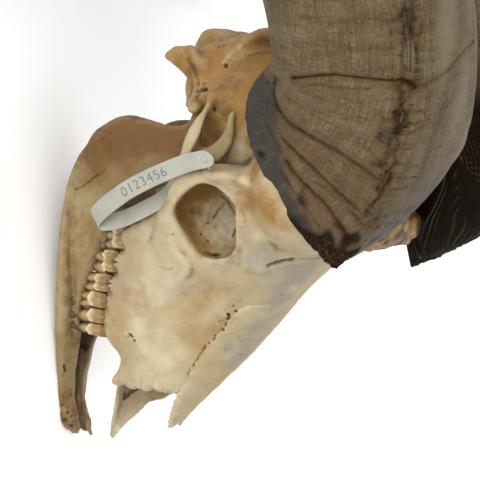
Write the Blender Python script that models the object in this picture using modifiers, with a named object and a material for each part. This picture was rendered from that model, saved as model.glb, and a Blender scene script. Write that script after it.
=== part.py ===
"""Skull of a mature mountain ram, life size: cranium, nasal bones, the one premaxilla that is left,
both halves of the lower jaw, the two curled horn sheaths, and a numbered strap looped round the cheek arch.

The skull is set out in its own frame, in millimetres: x towards its left side, r towards the nose and
z towards the crown. at() turns that into metres with the nose along -Y.
"""

import math

import bmesh
import bpy
from mathutils import Matrix, Vector

MM = 0.001
GAP = 0.4  # clearance between neighbouring pieces
SKIN = 0.45  # how far a neighbour is swollen before it cuts

# Driving dimensions
NOSE_DOWN = 5.9  # degrees, the skull's lean when it rests on jaw and horns
FLOOR_CUT = 1.2  # depth of the small flats it rests on
SUTURE_HALF_WIDTH = 0.35  # half of the gap between the two nasal bones

ORBIT = {"x": 58, "r": -40, "z": 75, "long": 24.5, "high": 22.5, "rim": 4.6, "depth": 40}
HORN_SECTIONS = 24
LEFT_HORN_LEAN = {26: 3, 56: 13, 97: 17, 168: 9, 258: 0}  # how far the left horn is ahead of the right one
HORN_BASE_SAG = 9  # how far the lip of the sheath hangs down on its outer side
HORN_SIDES = 22  # a multiple of the outline's points, so that the keel is on a vertex
NASAL_CAVITY_DEPTH = 46
UPPER_TEETH = ((9, 10), (11, 12), (12, 13), (14, 15), (17, 16), (19, 15))  # length and width, front to back
STRAP_WIDTH = 15
STRAP_THICK = 1.2
LOWER_TEETH = ((8, 7), (10, 8), (12, 8), (14, 9), (17, 9), (21, 9))

BONE = ("old_bone", (0.66, 0.50, 0.30), 0.62)
JAW_BONE = ("jaw_bone", (0.50, 0.37, 0.21), 0.60)
HORN = ("horn_keratin", (0.20, 0.145, 0.09), 0.55)
STRAP = ("strap_plastic", (0.70, 0.71, 0.70), 0.45)


# ---------------------------------------------------------------- helpers


def at(x, r, z):
    return Vector((x, -r, z)) * MM


def smooth_value(stations, t):
    """Catmull-Rom value through rows of numbers, t running from 0 to the last row."""
    last = len(stations) - 1
    i = min(int(t), last - 1)
    u = t - i
    rows = [stations[min(max(k, 0), last)] for k in (i - 1, i, i + 1, i + 2)]
    found = []
    for a, b, c, d in zip(*rows):
        found.append(
            b + 0.5 * u * (c - a + u * (2 * a - 5 * b + 4 * c - d + u * (3 * (b - c) + d - a)))
        )
    return found


def along(table, r):
    """Straight-line value of a {r: value} table at r."""
    keys = sorted(table)
    if r <= keys[0]:
        return table[keys[0]]
    for low, high in zip(keys, keys[1:]):
        if r <= high:
            share = (r - low) / (high - low)
            return table[low] + share * (table[high] - table[low])
    return table[keys[-1]]


def collection(name):
    found = bpy.data.collections.new(name)
    bpy.context.scene.collection.children.link(found)
    return found


def new_object(name, bm, group):
    bmesh.ops.recalc_face_normals(bm, faces=bm.faces)
    mesh = bpy.data.meshes.new(name)
    bm.to_mesh(mesh)
    bm.free()
    made = bpy.data.objects.new(name, mesh)
    group.objects.link(made)
    return made


def as_cutter(obj):
    obj.hide_render = True
    obj.display_type = "WIRE"
    return obj


def material(name, colour, roughness):
    made = bpy.data.materials.new(name)
    made.use_nodes = True
    shader = made.node_tree.nodes["Principled BSDF"]
    shader.inputs["Base Color"].default_value = (*colour, 1)
    shader.inputs["Roughness"].default_value = roughness
    shader.inputs["Metallic"].default_value = 0.0
    return made


def add_ball(bm, centre, radii, turn=(0, 0, 0)):
    """An ellipsoid, turned in degrees about x, y and z."""
    turned = Matrix.Rotation(math.radians(turn[2]), 4, "Z")
    turned = turned @ Matrix.Rotation(math.radians(turn[1]), 4, "Y")
    turned = turned @ Matrix.Rotation(math.radians(turn[0]), 4, "X")
    place = Matrix.Translation(at(*centre)) @ turned @ Matrix.Diagonal((*(Vector(radii) * MM), 1))
    bmesh.ops.create_uvsphere(bm, u_segments=20, v_segments=12, radius=1, matrix=place)


def add_loft(bm, rings):
    """A closed skin through rings of points, with a fan at each end."""
    rows = [[bm.verts.new(p) for p in ring] for ring in rings]
    count = len(rows[0])
    for one, two in zip(rows, rows[1:]):
        for k in range(count):
            n = (k + 1) % count
            bm.faces.new((one[k], one[n], two[n], two[k]))
    for row in (rows[0], rows[-1]):
        middle = bm.verts.new(sum((v.co for v in row), Vector()) / count)
        for k in range(count):
            bm.faces.new((row[k], row[(k + 1) % count], middle))


def add_limb(bm, spine, sides=10):
    """A bone bar through (x, r, z, half width, half height) rows, its width lying across the spine."""
    rows = [(at(*row[:3]), row[3] * MM, row[4] * MM) for row in spine]
    rings = []
    for k, (centre, wide, high) in enumerate(rows):
        ahead = rows[min(k + 1, len(rows) - 1)][0] - rows[max(k - 1, 0)][0]
        across = ahead.cross(Vector((0, 0, 1)))
        if across.length < 0.2 * ahead.length:
            across = Vector((1, 0, 0))
        across.normalize()
        up = across.cross(ahead).normalized()
        turns = [2 * math.pi * j / sides for j in range(sides)]
        rings.append([centre + across * (wide * math.cos(a)) + up * (high * math.sin(a)) for a in turns])
    add_loft(bm, rings)


def mirrored(rows):
    """The same rows on both sides of the skull."""
    return [[(side * row[0], *row[1:]) for row in rows] for side in (-1, 1)]


def remesh(obj, voxel, name):
    step = obj.modifiers.new(name, "REMESH")
    step.mode = "VOXEL"
    step.voxel_size = voxel * MM
    step.use_smooth_shade = True


def soften(obj, factor, times):
    step = obj.modifiers.new("soften", "SMOOTH")
    step.factor = factor
    step.iterations = times


def thin_out(obj, ratio):
    step = obj.modifiers.new("thin_out", "DECIMATE")
    step.ratio = ratio


def subtract(obj, cutter):
    step = obj.modifiers.new("cut_" + cutter.name, "BOOLEAN")
    step.operation = "DIFFERENCE"
    step.object = cutter
    step.solver = "EXACT"


def frozen(obj, name, group):
    """A new object with the evaluated mesh of obj, which is then removed."""
    graph = bpy.context.evaluated_depsgraph_get()
    mesh = bpy.data.meshes.new_from_object(obj.evaluated_get(graph))
    made = bpy.data.objects.new(name, mesh)
    group.objects.link(made)
    bpy.data.objects.remove(obj)
    return made


def swollen(obj, group):
    """A cutter: obj grown by the clearance, so that what it cuts doesn't touch it."""
    bm = bmesh.new()
    bm.from_mesh(obj.data)
    bm.normal_update()
    shifts = [v.normal * SKIN * MM * min(2.5, v.calc_shell_factor()) for v in bm.verts]
    for vertex, shift in zip(bm.verts, shifts):
        vertex.co += shift
    return as_cutter(new_object("room_for_" + obj.name, bm, group))


# ---------------------------------------------------------------- cranium


def muzzle_ring(r, low, top, palate, cheek, cheek_z, seam, seam_z):
    """Cross-section of the snout: flat palate, bulging cheeks, and a steep roof above the nasal seam, in mm."""
    half = [
        (0.0, low + 2.5),
        (palate * 0.62, low + 1.5),
        (palate, low),
        (palate + 1.5, low + 5),
        (0.5 * (palate + cheek) + 1, 0.5 * (low + cheek_z)),
        (cheek, cheek_z),
        (0.5 * (cheek + seam) + 1.5, 0.5 * (cheek_z + seam_z)),
        (seam, seam_z),
        (seam * 0.66, 0.32 * seam_z + 0.68 * top),
        (0.0, top),
    ]
    loop = half + [(-x, z) for x, z in reversed(half[1:-1])]
    return [at(x, r, z) for x, z in loop]


def snout(bm):
    stations = [
        # r, palate z, roof z, half widths at palate and cheek, cheek z, nasal seam x and z
        (90, -9, 52, 16, 20, 15, 13.5, 39),
        (80, -6, 60, 18, 23, 20, 15, 46),
        (64, -1, 75, 21, 28, 24, 18.5, 58),
        (52, -8, 86, 28, 32, 24, 21, 66),
        (36, -6, 99, 32, 38, 30, 25, 77),
        (18, -2, 112, 35, 44, 38, 31, 88),
        (0, 3, 130, 37, 51, 48, 38, 104),
        (-18, 7, 147, 37, 52, 56, 44, 122),
        (-36, 14, 158, 30, 44, 70, 47, 134),
        (-56, 22, 165, 20, 34, 84, 46, 140),
    ]
    add_loft(bm, [muzzle_ring(*row) for row in stations])


def braincase(bm):
    add_ball(bm, (0, -58, 140), (50, 44, 38))  # brow between the horns
    add_ball(bm, (0, -44, 156), (30, 26, 30))  # crest of the brow
    add_ball(bm, (0, -110, 92), (43, 56, 42))  # brain
    add_ball(bm, (0, -92, 118), (40, 44, 38), (18, 0, 0))  # slope from brow to crown
    add_ball(bm, (0, -148, 74), (41, 19, 30), (-12, 0, 0))  # back of the head
    add_ball(bm, (0, -160, 84), (26, 8, 14))  # nape
    add_limb(bm, [(0, -163, 44, 13, 9), (0, -140, 36, 15, 9), (0, -105, 34, 13, 8), (0, -60, 32, 9, 9), (0, -30, 24, 8, 12)])
    for side in (-1, 1):
        add_ball(bm, (side * 17, -160, 47), (10, 10, 14), (0, side * 16, 0))  # condyle
        add_ball(bm, (side * 22, -128, 44), (9, 13, 8), (0, 0, side * 12))  # ear capsule
        add_ball(bm, (side * 32, -130, 61), (14, 13, 14))  # mastoid
        add_ball(bm, (side * 13, -52, 26), (4, 20, 13))  # pterygoid wing


def skull_bars(bm):
    """The crests, processes and arches, on both sides."""
    bars = (
        # nuchal crest, from behind the ear up to the nape
        [(45, -131, 66, 5, 6), (42, -146, 78, 5, 5), (31, -161, 90, 5, 5), (14, -168, 96, 6, 5), (0, -169, 97, 6, 5)],
        # paroccipital process
        [(33, -140, 58, 7, 10), (36, -144, 46, 5, 10), (38, -147, 34, 4, 8), (39, -147, 26, 3, 5)],
        # bony ear tube
        [(30, -126, 59, 6, 6), (41, -127, 60, 5, 5), (47, -128, 61, 4.5, 4.5)],
        # cheek arch: face, under the eye, back to the jaw joint
        [(44, 8, 44, 7, 11), (52, -12, 48, 7, 11), (58, -34, 47, 5, 6), (61, -54, 52, 4, 6), (63, -74, 59, 3.5, 7),
         (62, -92, 64, 3.5, 6), (57, -107, 68, 5, 5), (47, -118, 69, 8, 5), (34, -122, 70, 9, 6)],
        # bar behind the eye
        [(48, -66, 112, 9, 9), (56, -68, 96, 5, 7), (61, -67, 80, 4, 5.5), (62, -66, 66, 4, 6), (61, -62, 54, 4, 6)],
        # side of the brow over the eye
        [(44, -12, 107, 8, 11), (46, -22, 109, 8, 11), (50, -42, 110, 8, 10), (48, -64, 112, 8, 10)],
        # base of the horn core
        [(30, -48, 128, 30, 34), (42, -60, 141, 34, 42), (47, -65, 148, 33, 44)],
    )
    for rows in bars:
        for copy in mirrored(rows):
            add_limb(bm, copy)


def orbit_rings(bm):
    """The raised rim of each eye socket, an oval that looks outwards, a little forwards and up."""
    turns = [2 * math.pi * k / 20 for k in range(20)]
    for side in (-1, 1):
        rings = []
        for a in turns:
            rim = ORBIT["rim"]
            r = (ORBIT["long"] + rim) * math.cos(a)
            z = (ORBIT["high"] + rim) * math.sin(a)
            x = ORBIT["x"] - 0.16 * r - 0.18 * z
            outward = Vector((0, -math.cos(a), math.sin(a)))
            centre = at(side * x, ORBIT["r"] + r, ORBIT["z"] + z)
            lateral = Vector((side, 0, 0))
            loop = [2 * math.pi * j / 8 for j in range(8)]
            rings.append([centre + (outward * math.cos(b) * rim + lateral * math.sin(b) * rim * 1.5) * MM for b in loop])
        rows = [[bm.verts.new(p) for p in ring] for ring in rings]
        for one, two in zip(rows, rows[1:] + rows[:1]):
            for k in range(8):
                bm.faces.new((one[k], one[(k + 1) % 8], two[(k + 1) % 8], two[k]))
        # the walls of the socket, behind the rim
        add_ball(bm, (side * 40, -36, 82), (23, 31, 31))


def upper_teeth(bm):
    """Six cheek teeth on each side, larger towards the back."""
    for side in (-1, 1):
        r = 51.0
        for length, width in UPPER_TEETH:
            middle = r - length / 2
            gum = along({-31: 8, 51: -8}, middle)
            x = along({-31: 33, 51: 24}, middle)
            add_limb(
                bm,
                [(side * (x - 1), middle, gum + 10, width / 2, length / 2 - 0.2),
                 (side * x, middle, gum, width / 2, length / 2),
                 (side * x, middle, gum - 6.8, width / 2 - 1, length / 2 - 0.7)],
                sides=8,
            )
            r -= length


def eye_sockets(group):
    bm = bmesh.new()
    for side in (-1, 1):
        add_ball(bm, (side * 60, -41, 74.5), (ORBIT["depth"], ORBIT["long"], ORBIT["high"]), (0, side * 10, side * -9))
    return as_cutter(new_object("eye_sockets", bm, group))


def temple_hollows(group):
    """The open pit between cheek arch and braincase, where the jaw's coronoid process stands."""
    bm = bmesh.new()
    for side in (-1, 1):
        add_ball(bm, (side * 47.5, -89, 70), (11.5, 25, 24), (0, side * -8, 0))
        add_ball(bm, (side * 44, -78, 44), (20, 34, 22))
    return as_cutter(new_object("temple_hollows", bm, group))


def nose_cavity(group):
    bm = bmesh.new()
    rings = []
    stations = ((104, -4, 52, 15), (88, -4, 50, 14.5), (74, 1, 60, 17), (58, 4, 68, 18), (NASAL_CAVITY_DEPTH, 14, 60, 11))
    for r, low, top, half in stations:
        middle, tall = 0.5 * (low + top), 0.5 * (top - low)
        ring = []
        for k in range(16):
            a = 2 * math.pi * k / 16
            wide = math.copysign(abs(math.cos(a)) ** 0.7, math.cos(a))
            high = math.copysign(abs(math.sin(a)) ** 0.7, math.sin(a))
            ring.append(at(half * wide * (1 - 0.45 * max(0, high)), r, middle + tall * high))
        rings.append(ring)
    add_loft(bm, rings)
    return as_cutter(new_object("nose_cavity", bm, group))


def palate_vault(group):
    bm = bmesh.new()
    add_ball(bm, (0, 34, -10), (17, 62, 9), (11, 0, 0))
    add_ball(bm, (0, -168, 47), (8, 22, 9))  # the hole for the spinal cord
    return as_cutter(new_object("palate_vault", bm, group))


def cranium(parts, cutters):
    bm = bmesh.new()
    snout(bm)
    braincase(bm)
    skull_bars(bm)
    orbit_rings(bm)
    upper_teeth(bm)
    bone = new_object("rough_cranium", bm, cutters)
    remesh(bone, 2.4, "fuse")
    soften(bone, 0.5, 3)
    for cutter in (eye_sockets(cutters), temple_hollows(cutters), nose_cavity(cutters), palate_vault(cutters)):
        subtract(bone, cutter)
    remesh(bone, 2.2, "even_out")
    soften(bone, 0.5, 2)
    thin_out(bone, 0.046)
    return frozen(bone, "rough_cranium_thin", parts)


# ---------------------------------------------------------------- nasal bones and premaxilla


def nasal_bone(side, parts):
    """One half of the nose roof: an arched strip that ends in a free point."""
    stations = [
        # r, crown z, half width, drop to the outer edge, thickness
        (14, 120, 10, 8, 6),
        (22, 114.5, 23.5, 28, 6),
        (40, 100.5, 23, 28, 6),
        (60, 83.5, 19.5, 24, 5),
        (84, 61, 15.2, 18, 4),
        (97, 49, 12.5, 12, 3),
        (105, 42, 10, 8, 2.6),
        (110, 37, 8, 4, 2.2),
    ]
    steps = 6
    rings = []
    for r, crown, wide, drop, thick in stations:
        outer, inner = [], []
        for k in range(steps + 1):
            share = k / steps
            x = SUTURE_HALF_WIDTH + share * (wide - SUTURE_HALF_WIDTH)
            if r > 104:
                x += 5 * (r - 104) / 6 * (1 - share)
            z = crown - drop * share ** 2.2
            outer.append(at(side * x, r, z))
            inner.append(at(side * max(x - thick * 0.25 * share, SUTURE_HALF_WIDTH), r, z - thick))
        rings.append(outer + inner[::-1])
    bm = bmesh.new()
    add_loft(bm, rings)
    return new_object("nasal_left" if side > 0 else "nasal_right", bm, parts)


def premaxilla(parts):
    """The left one: a side wall that narrows to the front of the snout, with its share of the palate."""
    bm = bmesh.new()
    wall = [
        # x, r, z, half width, half height
        (18.2, 92.5, 14, 1.6, 21),
        (17.2, 97, 7, 1.6, 15.5),
        (15.5, 104, -1, 1.6, 11),
        (13, 113, -8, 1.7, 7.5),
        (10.5, 121, -14, 1.8, 4.5),
        (9, 127, -18, 1.6, 2),
    ]
    add_limb(bm, wall, sides=12)
    floor = [(10, 92.5, -9, 7, 1.6), (9, 104, -11.5, 6, 1.6), (8.5, 115, -14.5, 4.5, 1.7), (8.6, 125, -17.5, 2.5, 1.6)]
    add_limb(bm, floor)
    bone = new_object("rough_premaxilla", bm, parts)
    remesh(bone, 0.9, "fuse")
    soften(bone, 0.5, 3)
    thin_out(bone, 0.03)
    return frozen(bone, "premaxilla_left", parts)


# ---------------------------------------------------------------- lower jaw


JAW_OUTLINE = [
    (127, -43), (120, -49), (108, -51), (80, -50.5), (36, -50), (0, -48.5), (-34, -44.5), (-66, -35), (-88, -18),
    (-99, 0), (-99, 20), (-97, 38), (-101, 49), (-111, 52), (-118, 57), (-116, 61.5), (-106, 62), (-99, 64),
    (-103, 74), (-112, 84.5), (-107, 86.5), (-92, 84), (-80, 76), (-70, 60), (-60, 34), (-50, 10), (-38, -3),
    (-14, -10), (26, -25), (50, -31.5), (62, -34), (86, -39), (100, -42), (112, -39), (124, -33), (128, -36),
]
JAW_SIDE = {-120: 47, -100: 43, -60: 39, -35: 35.5, 0: 30.5, 36: 25, 50: 22, 80: 14.5, 100: 11, 128: 7.5}
JAW_THICKNESS = {-120: 7, -104: 6, -80: 6, -60: 8, -35: 12, 0: 12.5, 50: 11, 80: 9.5, 104: 10, 128: 8}


def jaw_plate(side):
    """The outline filled as a flat curve, thickened, and then set out sideways along its length."""
    curve = bpy.data.curves.new("jaw_outline", "CURVE")
    curve.dimensions = "2D"
    curve.fill_mode = "BOTH"
    curve.extrude = 0.5 * MM
    spline = curve.splines.new("NURBS")
    spline.points.add(len(JAW_OUTLINE) - 1)
    for point, (r, z) in zip(spline.points, JAW_OUTLINE):
        point.co = (r * MM, z * MM, 0, 1)
    spline.use_cyclic_u = True
    spline.order_u = 3
    spline.resolution_u = 4
    flat = bpy.data.objects.new("jaw_flat", curve)
    bpy.context.scene.collection.objects.link(flat)
    graph = bpy.context.evaluated_depsgraph_get()
    mesh = bpy.data.meshes.new_from_object(flat.evaluated_get(graph))
    bpy.data.objects.remove(flat)
    for vertex in mesh.vertices:
        r, z, level = (value / MM for value in vertex.co)
        x = along(JAW_SIDE, r) + 2 * level * 0.5 * along(JAW_THICKNESS, r)
        vertex.co = at(side * x, r, z)
    return mesh


def lower_jaw(side, parts):
    bm = bmesh.new()
    bm.from_mesh(jaw_plate(side))
    bmesh.ops.remove_doubles(bm, verts=bm.verts, dist=1e-5)
    bars = (
        [(side * 38, -112, 57, 4, 4), (side * 47, -114, 57, 5.5, 4.5), (side * 57, -112, 57, 4, 4)],  # joint
        [(side * 7, 96, -44, 4, 5), (side * 8, 112, -42, 6.5, 6), (side * 9, 124, -37, 7, 3.5), (side * 8, 128, -35, 5, 2)],
        [(side * 38, -70, -30, 4, 6), (side * 42, -90, -14, 4.5, 8), (side * 43, -99, 4, 4, 8)],  # angle
    )
    for rows in bars:
        add_limb(bm, rows)
    r = 50.0
    for length, width in LOWER_TEETH:
        middle = r - length / 2
        gum = along({-32: -4, -14: -9, 26: -24.5, 50: -31.5}, middle)
        bite = along({-32: -0.8, 52: -17.6}, middle)
        x = along(JAW_SIDE, middle) - 1.0
        add_limb(
            bm,
            [(side * x, middle, gum - 8, width / 2, length / 2 - 0.2), (side * x, middle, gum, width / 2, length / 2),
             (side * (x + 0.5), middle, bite, width / 2 - 0.6, length / 2 - 0.6)],
            sides=8,
        )
        r -= length
    if side > 0:  # the one front tooth that is left, a worn stub
        add_limb(bm, [(6, 118, -38, 2.2, 2.6), (6, 125, -33.5, 2.4, 2.4), (6, 129, -31, 1.8, 1.6)], sides=8)
    name = "mandible_left" if side > 0 else "mandible_right"
    bone = new_object("rough_" + name, bm, parts)
    remesh(bone, 1.7, "fuse")
    soften(bone, 0.5, 3)
    thin_out(bone, 0.04)
    return frozen(bone, name, parts)


# ---------------------------------------------------------------- horns


HORN_STATIONS = [
    # tilt of the section, its centre r, z and x, height, width, sideways share of the growth direction
    (26, -88, 153, 42, 138, 92, 0.62),
    (56, -113, 175, 56, 131, 90, 0.52),
    (84, -147, 188, 73, 123, 89, 0.42),
    (97, -195, 186, 94, 122, 88, 0.36),
    (117, -248, 168, 115, 118, 85, 0.30),
    (143, -290, 126, 130, 112, 81, 0.28),
    (168, -311, 76, 144, 103, 75, 0.28),
    (193, -312, 24, 158, 92, 68, 0.32),
    (217, -291, -21, 174, 78, 59, 0.38),
    (240, -256, -50, 191, 62, 48, 0.42),
    (258, -223, -60, 206, 47, 38, 0.44),
]
# outlines of a section: share of half the width outwards, share of half the height away from the curl's middle
HORN_BASE_OUTLINE = [
    (0.35, -1.0), (0.84, -0.69), (1.0, -0.2), (0.93, 0.4), (0.6, 1.0), (0.25, 1.03),
    (-0.2, 1.02), (-0.74, 0.84), (-1.0, 0.4), (-0.86, -0.3), (-0.3, -0.9),
]
HORN_BODY_OUTLINE = [
    (0.3, -1.0), (0.8, -0.72), (1.02, -0.25), (1.05, 0.25), (0.98, 0.74), (0.6, 0.97),
    (0.05, 1.06), (-0.5, 1.0), (-0.92, 0.55), (-0.92, -0.15), (-0.45, -0.82),
]


def horn_ring(row, side, sag=0):
    tilt, r, z, x, height, width, sideways = row
    if side > 0:
        r += along(LEFT_HORN_LEAN, tilt)
    tilt = math.radians(tilt)
    outward = Vector((0, -math.cos(tilt), math.sin(tilt)))
    along_curl = Vector((0, math.sin(tilt), math.cos(tilt)))
    lateral = Vector((side * math.sqrt(1 - sideways ** 2), 0, 0)) - along_curl * sideways
    centre = at(side * x, r, z)
    body = min(1, max(0, (row[0] - 26) / 50))
    outline = [
        (a + body * (c - a), b + body * (d - b)) for (a, b), (c, d) in zip(HORN_BASE_OUTLINE, HORN_BODY_OUTLINE)
    ]
    closed = outline[-1:] + outline + outline[:2]
    ring = []
    for k in range(HORN_SIDES):
        t = 1 + len(outline) * k / HORN_SIDES
        wide, high = smooth_value(closed, t)
        hang = along_curl * -0.6 * sag * max(0, wide) * (1 - high)
        ring.append(centre + (lateral * wide * width / 2 + outward * high * height / 2 + hang) * MM)
    return ring


def horn(side, parts):
    last = len(HORN_STATIONS) - 1
    rings = [
        horn_ring(smooth_value(HORN_STATIONS, last * k / (HORN_SECTIONS - 1)), side, HORN_BASE_SAG if k == 0 else 0)
        for k in range(HORN_SECTIONS)
    ]
    tip = [sum(ring, Vector()) / HORN_SIDES for ring in rings[-2:]]
    ahead = (tip[1] - tip[0]).normalized()
    for share, reach in ((0.82, 5), (0.45, 9)):  # the worn, blunt tip
        rings.append([tip[1] + (p - tip[1]) * share + ahead * reach * MM for p in rings[HORN_SECTIONS - 1]])
    bm = bmesh.new()
    add_loft(bm, rings)
    return new_object("horn_left" if side > 0 else "horn_right", bm, parts)


# ---------------------------------------------------------------- strap


STRAP_PATH = [
    # x, r, z: free end above the cheek arch, down over the outside, the fold, and back up behind the arch
    (-69, -86.5, 81), (-71, -80, 72), (-72, -67, 55), (-72, -53, 33), (-70.5, -43, 13), (-69, -37.5, 2.5),
    (-66, -35.5, -1.5), (-62.5, -36, 1.5), (-59, -42, 14), (-55.5, -51, 31), (-52.5, -62, 47), (-51, -72, 60),
    (-53, -79, 70), (-59, -82.5, 76), (-66.5, -84, 78.5),
]
STRAP_RIVET = (-68.5, -83.5, 76.5)


def strap(parts):
    """A stiff band folded once, its two ends riveted together above the cheek arch."""
    steps = 30
    last = len(STRAP_PATH) - 1
    path = [at(*smooth_value(STRAP_PATH, last * k / steps)) for k in range(steps + 1)]
    face = Vector((-0.93, 0.12, 0.36)).normalized()
    main = (path[0] - path[steps // 2]).normalized()
    across = main.cross(face).normalized()
    rings = []
    for k, centre in enumerate(path):
        ahead = (path[min(k + 1, steps)] - path[max(k - 1, 0)]).normalized()
        out = across.cross(ahead).normalized()
        half = STRAP_WIDTH / 2
        if k < 2:
            half *= (0.62, 0.9)[k]
        corners = ((-half, -STRAP_THICK / 2), (half, -STRAP_THICK / 2), (half, STRAP_THICK / 2), (-half, STRAP_THICK / 2))
        rings.append([centre + (across * wide + out * deep) * MM for wide, deep in corners])
    bm = bmesh.new()
    add_loft(bm, rings)
    band = new_object("folded_band", bm, parts)
    bm = bmesh.new()
    place = Matrix.Translation(at(*STRAP_RIVET)) @ face.to_track_quat("Z", "Y").to_matrix().to_4x4()
    bmesh.ops.create_cone(bm, cap_ends=True, segments=12, radius1=2.6 * MM, radius2=2.6 * MM, depth=9 * MM, matrix=place)
    rivet = new_object("rivet", bm, parts)
    join = band.modifiers.new("rivet_through", "BOOLEAN")
    join.operation = "UNION"
    join.object = rivet
    join.solver = "EXACT"
    tag = frozen(band, "specimen_tag", parts)
    bpy.data.objects.remove(rivet)
    return tag


# ---------------------------------------------------------------- assembly


def cut_midline(obj, side):
    """Keep a jaw half on its own side of the skull."""
    bm = bmesh.new()
    bm.from_mesh(obj.data)
    cut_off(bm, at(side * 0.5 * GAP, 0, 0), Vector((side, 0, 0)))
    bm.to_mesh(obj.data)
    bm.free()


def cut_off(bm, point, keep):
    """Cut the mesh along a plane, close the cut and keep the side that keep points to."""
    geometry = bm.verts[:] + bm.edges[:] + bm.faces[:]
    bmesh.ops.bisect_plane(bm, geom=geometry, dist=1e-7, plane_co=point, plane_no=keep, clear_inner=True)
    open_edges = [edge for edge in bm.edges if edge.is_boundary]
    if open_edges:
        bmesh.ops.holes_fill(bm, edges=open_edges, sides=0)
    bmesh.ops.triangulate(bm, faces=[face for face in bm.faces if len(face.verts) > 4])


def main():
    for obj in list(bpy.data.objects):
        bpy.data.objects.remove(obj)
    parts = collection("ram_skull")
    cutters = collection("cutters")
    nasals = [nasal_bone(side, parts) for side in (-1, 1)]
    jaws = [lower_jaw(side, parts) for side in (-1, 1)]
    for obj, side in zip(jaws, (-1, 1)):
        cut_midline(obj, side)
    horns = [horn(side, parts) for side in (-1, 1)]
    front = premaxilla(parts)
    skull = cranium(parts, cutters)
    for neighbour in [*nasals, *jaws, *horns, front]:
        subtract(skull, swollen(neighbour, cutters))
    skull = frozen(skull, "cranium", parts)
    tag = strap(parts)
    rest = Matrix.Rotation(math.radians(NOSE_DOWN), 4, "X")
    everything = [skull, front, *nasals, *jaws, *horns, tag]
    for obj in everything:
        obj.data.transform(rest)
    floor = min(v.co.z for obj in jaws + horns for v in obj.data.vertices) + FLOOR_CUT * MM
    for obj in jaws + horns:
        bm = bmesh.new()
        bm.from_mesh(obj.data)
        cut_off(bm, Vector((0, 0, floor)), Vector((0, 0, 1)))
        bm.to_mesh(obj.data)
        bm.free()
    corners = [v.co for obj in everything for v in obj.data.vertices]
    middle = 0.5 * (min(c.y for c in corners) + max(c.y for c in corners))
    for obj in everything:
        obj.data.transform(Matrix.Translation((0, -middle, -floor)))
    finishes = {name: material(name, colour, rough) for name, colour, rough in (BONE, JAW_BONE, HORN, STRAP)}
    for obj in [skull, front, *nasals]:
        obj.data.materials.append(finishes["old_bone"])
    for obj in jaws:
        obj.data.materials.append(finishes["jaw_bone"])
    for obj in horns:
        obj.data.materials.append(finishes["horn_keratin"])
    tag.data.materials.append(finishes["strap_plastic"])


main()
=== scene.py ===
import math

import bpy
import numpy as np
from mathutils import Matrix, Vector, noise
from mathutils.bvhtree import BVHTree


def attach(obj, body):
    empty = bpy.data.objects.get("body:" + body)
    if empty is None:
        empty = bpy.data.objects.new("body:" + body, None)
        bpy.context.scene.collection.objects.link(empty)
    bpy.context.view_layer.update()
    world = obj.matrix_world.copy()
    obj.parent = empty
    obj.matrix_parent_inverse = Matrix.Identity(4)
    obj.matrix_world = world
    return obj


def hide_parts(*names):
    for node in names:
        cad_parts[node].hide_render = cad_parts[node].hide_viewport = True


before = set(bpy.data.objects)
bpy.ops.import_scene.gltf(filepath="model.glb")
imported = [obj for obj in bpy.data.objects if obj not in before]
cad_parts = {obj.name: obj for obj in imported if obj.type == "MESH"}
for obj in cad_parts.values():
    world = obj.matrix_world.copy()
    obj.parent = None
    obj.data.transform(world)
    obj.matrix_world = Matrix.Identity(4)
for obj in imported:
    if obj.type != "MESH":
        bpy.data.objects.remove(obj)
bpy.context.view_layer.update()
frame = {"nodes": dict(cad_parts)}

# The skull is set out in its own frame, in millimetres: x to its left, r towards the nose, z up to the
# crown. It rests on jaw and horns, so each piece is leaned over and moved once it is finished.
mm = 0.001
restPose = {"noseDownDegrees": 5.9, "shift": (0, -116.93, 59.66)}
leanOver = Matrix.Translation(Vector(restPose["shift"]) * mm) @ Matrix.Rotation(
    math.radians(restPose["noseDownDegrees"]), 4, "X")


def at(x, r, z):
    return Vector((x, -r, z)) * mm


# the camera looks at the right side, from a little above and behind, rolled so that the nose points down
cameraPlace = {
    "elevation": 24.0, "behind": 4.0, "roll": 6.0, "distance": 1300.0, "aim": (0, -25, 75),
    "pixelsPerRadian": 1885.0, "frame": 480,
}


def buildCamera(place):
    up, back = math.radians(place["elevation"]), math.radians(place["behind"])
    away = Vector((-math.cos(back) * math.cos(up), math.sin(back) * math.cos(up), math.sin(up)))
    dorsal = (Vector((0, 0, 1)) - away.z * away).normalized()
    nose = dorsal.cross(away)
    if nose.y > 0:
        nose.negate()
    roll = math.radians(place["roll"])
    right = dorsal * math.cos(roll) - nose * math.sin(roll)
    above = -(nose * math.cos(roll) + dorsal * math.sin(roll))
    turn = Matrix((right, above, away)).transposed().to_4x4()
    turn.translation = at(*place["aim"]) + away * place["distance"] * mm
    camera = bpy.data.objects.new("photoCamera", bpy.data.cameras.new("photoCamera"))
    bpy.context.scene.collection.objects.link(camera)
    camera.data.sensor_width = 36
    camera.data.lens = 36 * place["pixelsPerRadian"] / place["frame"]
    camera.data.clip_start = 0.05
    camera.matrix_world = leanOver @ turn
    bpy.context.scene.camera = camera
    return turn


cameraInSkull = buildCamera(cameraPlace)


def seenAt(tree, across, down):
    # the point of a mesh that shows at that place of the 480 by 480 picture, in the skull's frame
    half, reach = cameraPlace["frame"] / 2, cameraPlace["pixelsPerRadian"]
    ray = Vector(((across - half) / reach, (half - down) / reach, -1)).normalized()
    start = cameraInSkull.translation
    heading = (cameraInSkull.to_3x3() @ ray).normalized()
    hit = tree.ray_cast(start, heading)[0]
    if hit is None:
        hit = tree.find_nearest(start + heading * cameraPlace["distance"] * mm)[0]
    return Vector((hit.x, -hit.y, hit.z)) / mm


def clearSelection():
    if bpy.context.object and bpy.context.object.mode != "OBJECT":
        bpy.ops.object.mode_set(mode="OBJECT")
    bpy.ops.object.select_all(action="DESELECT")


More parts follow.
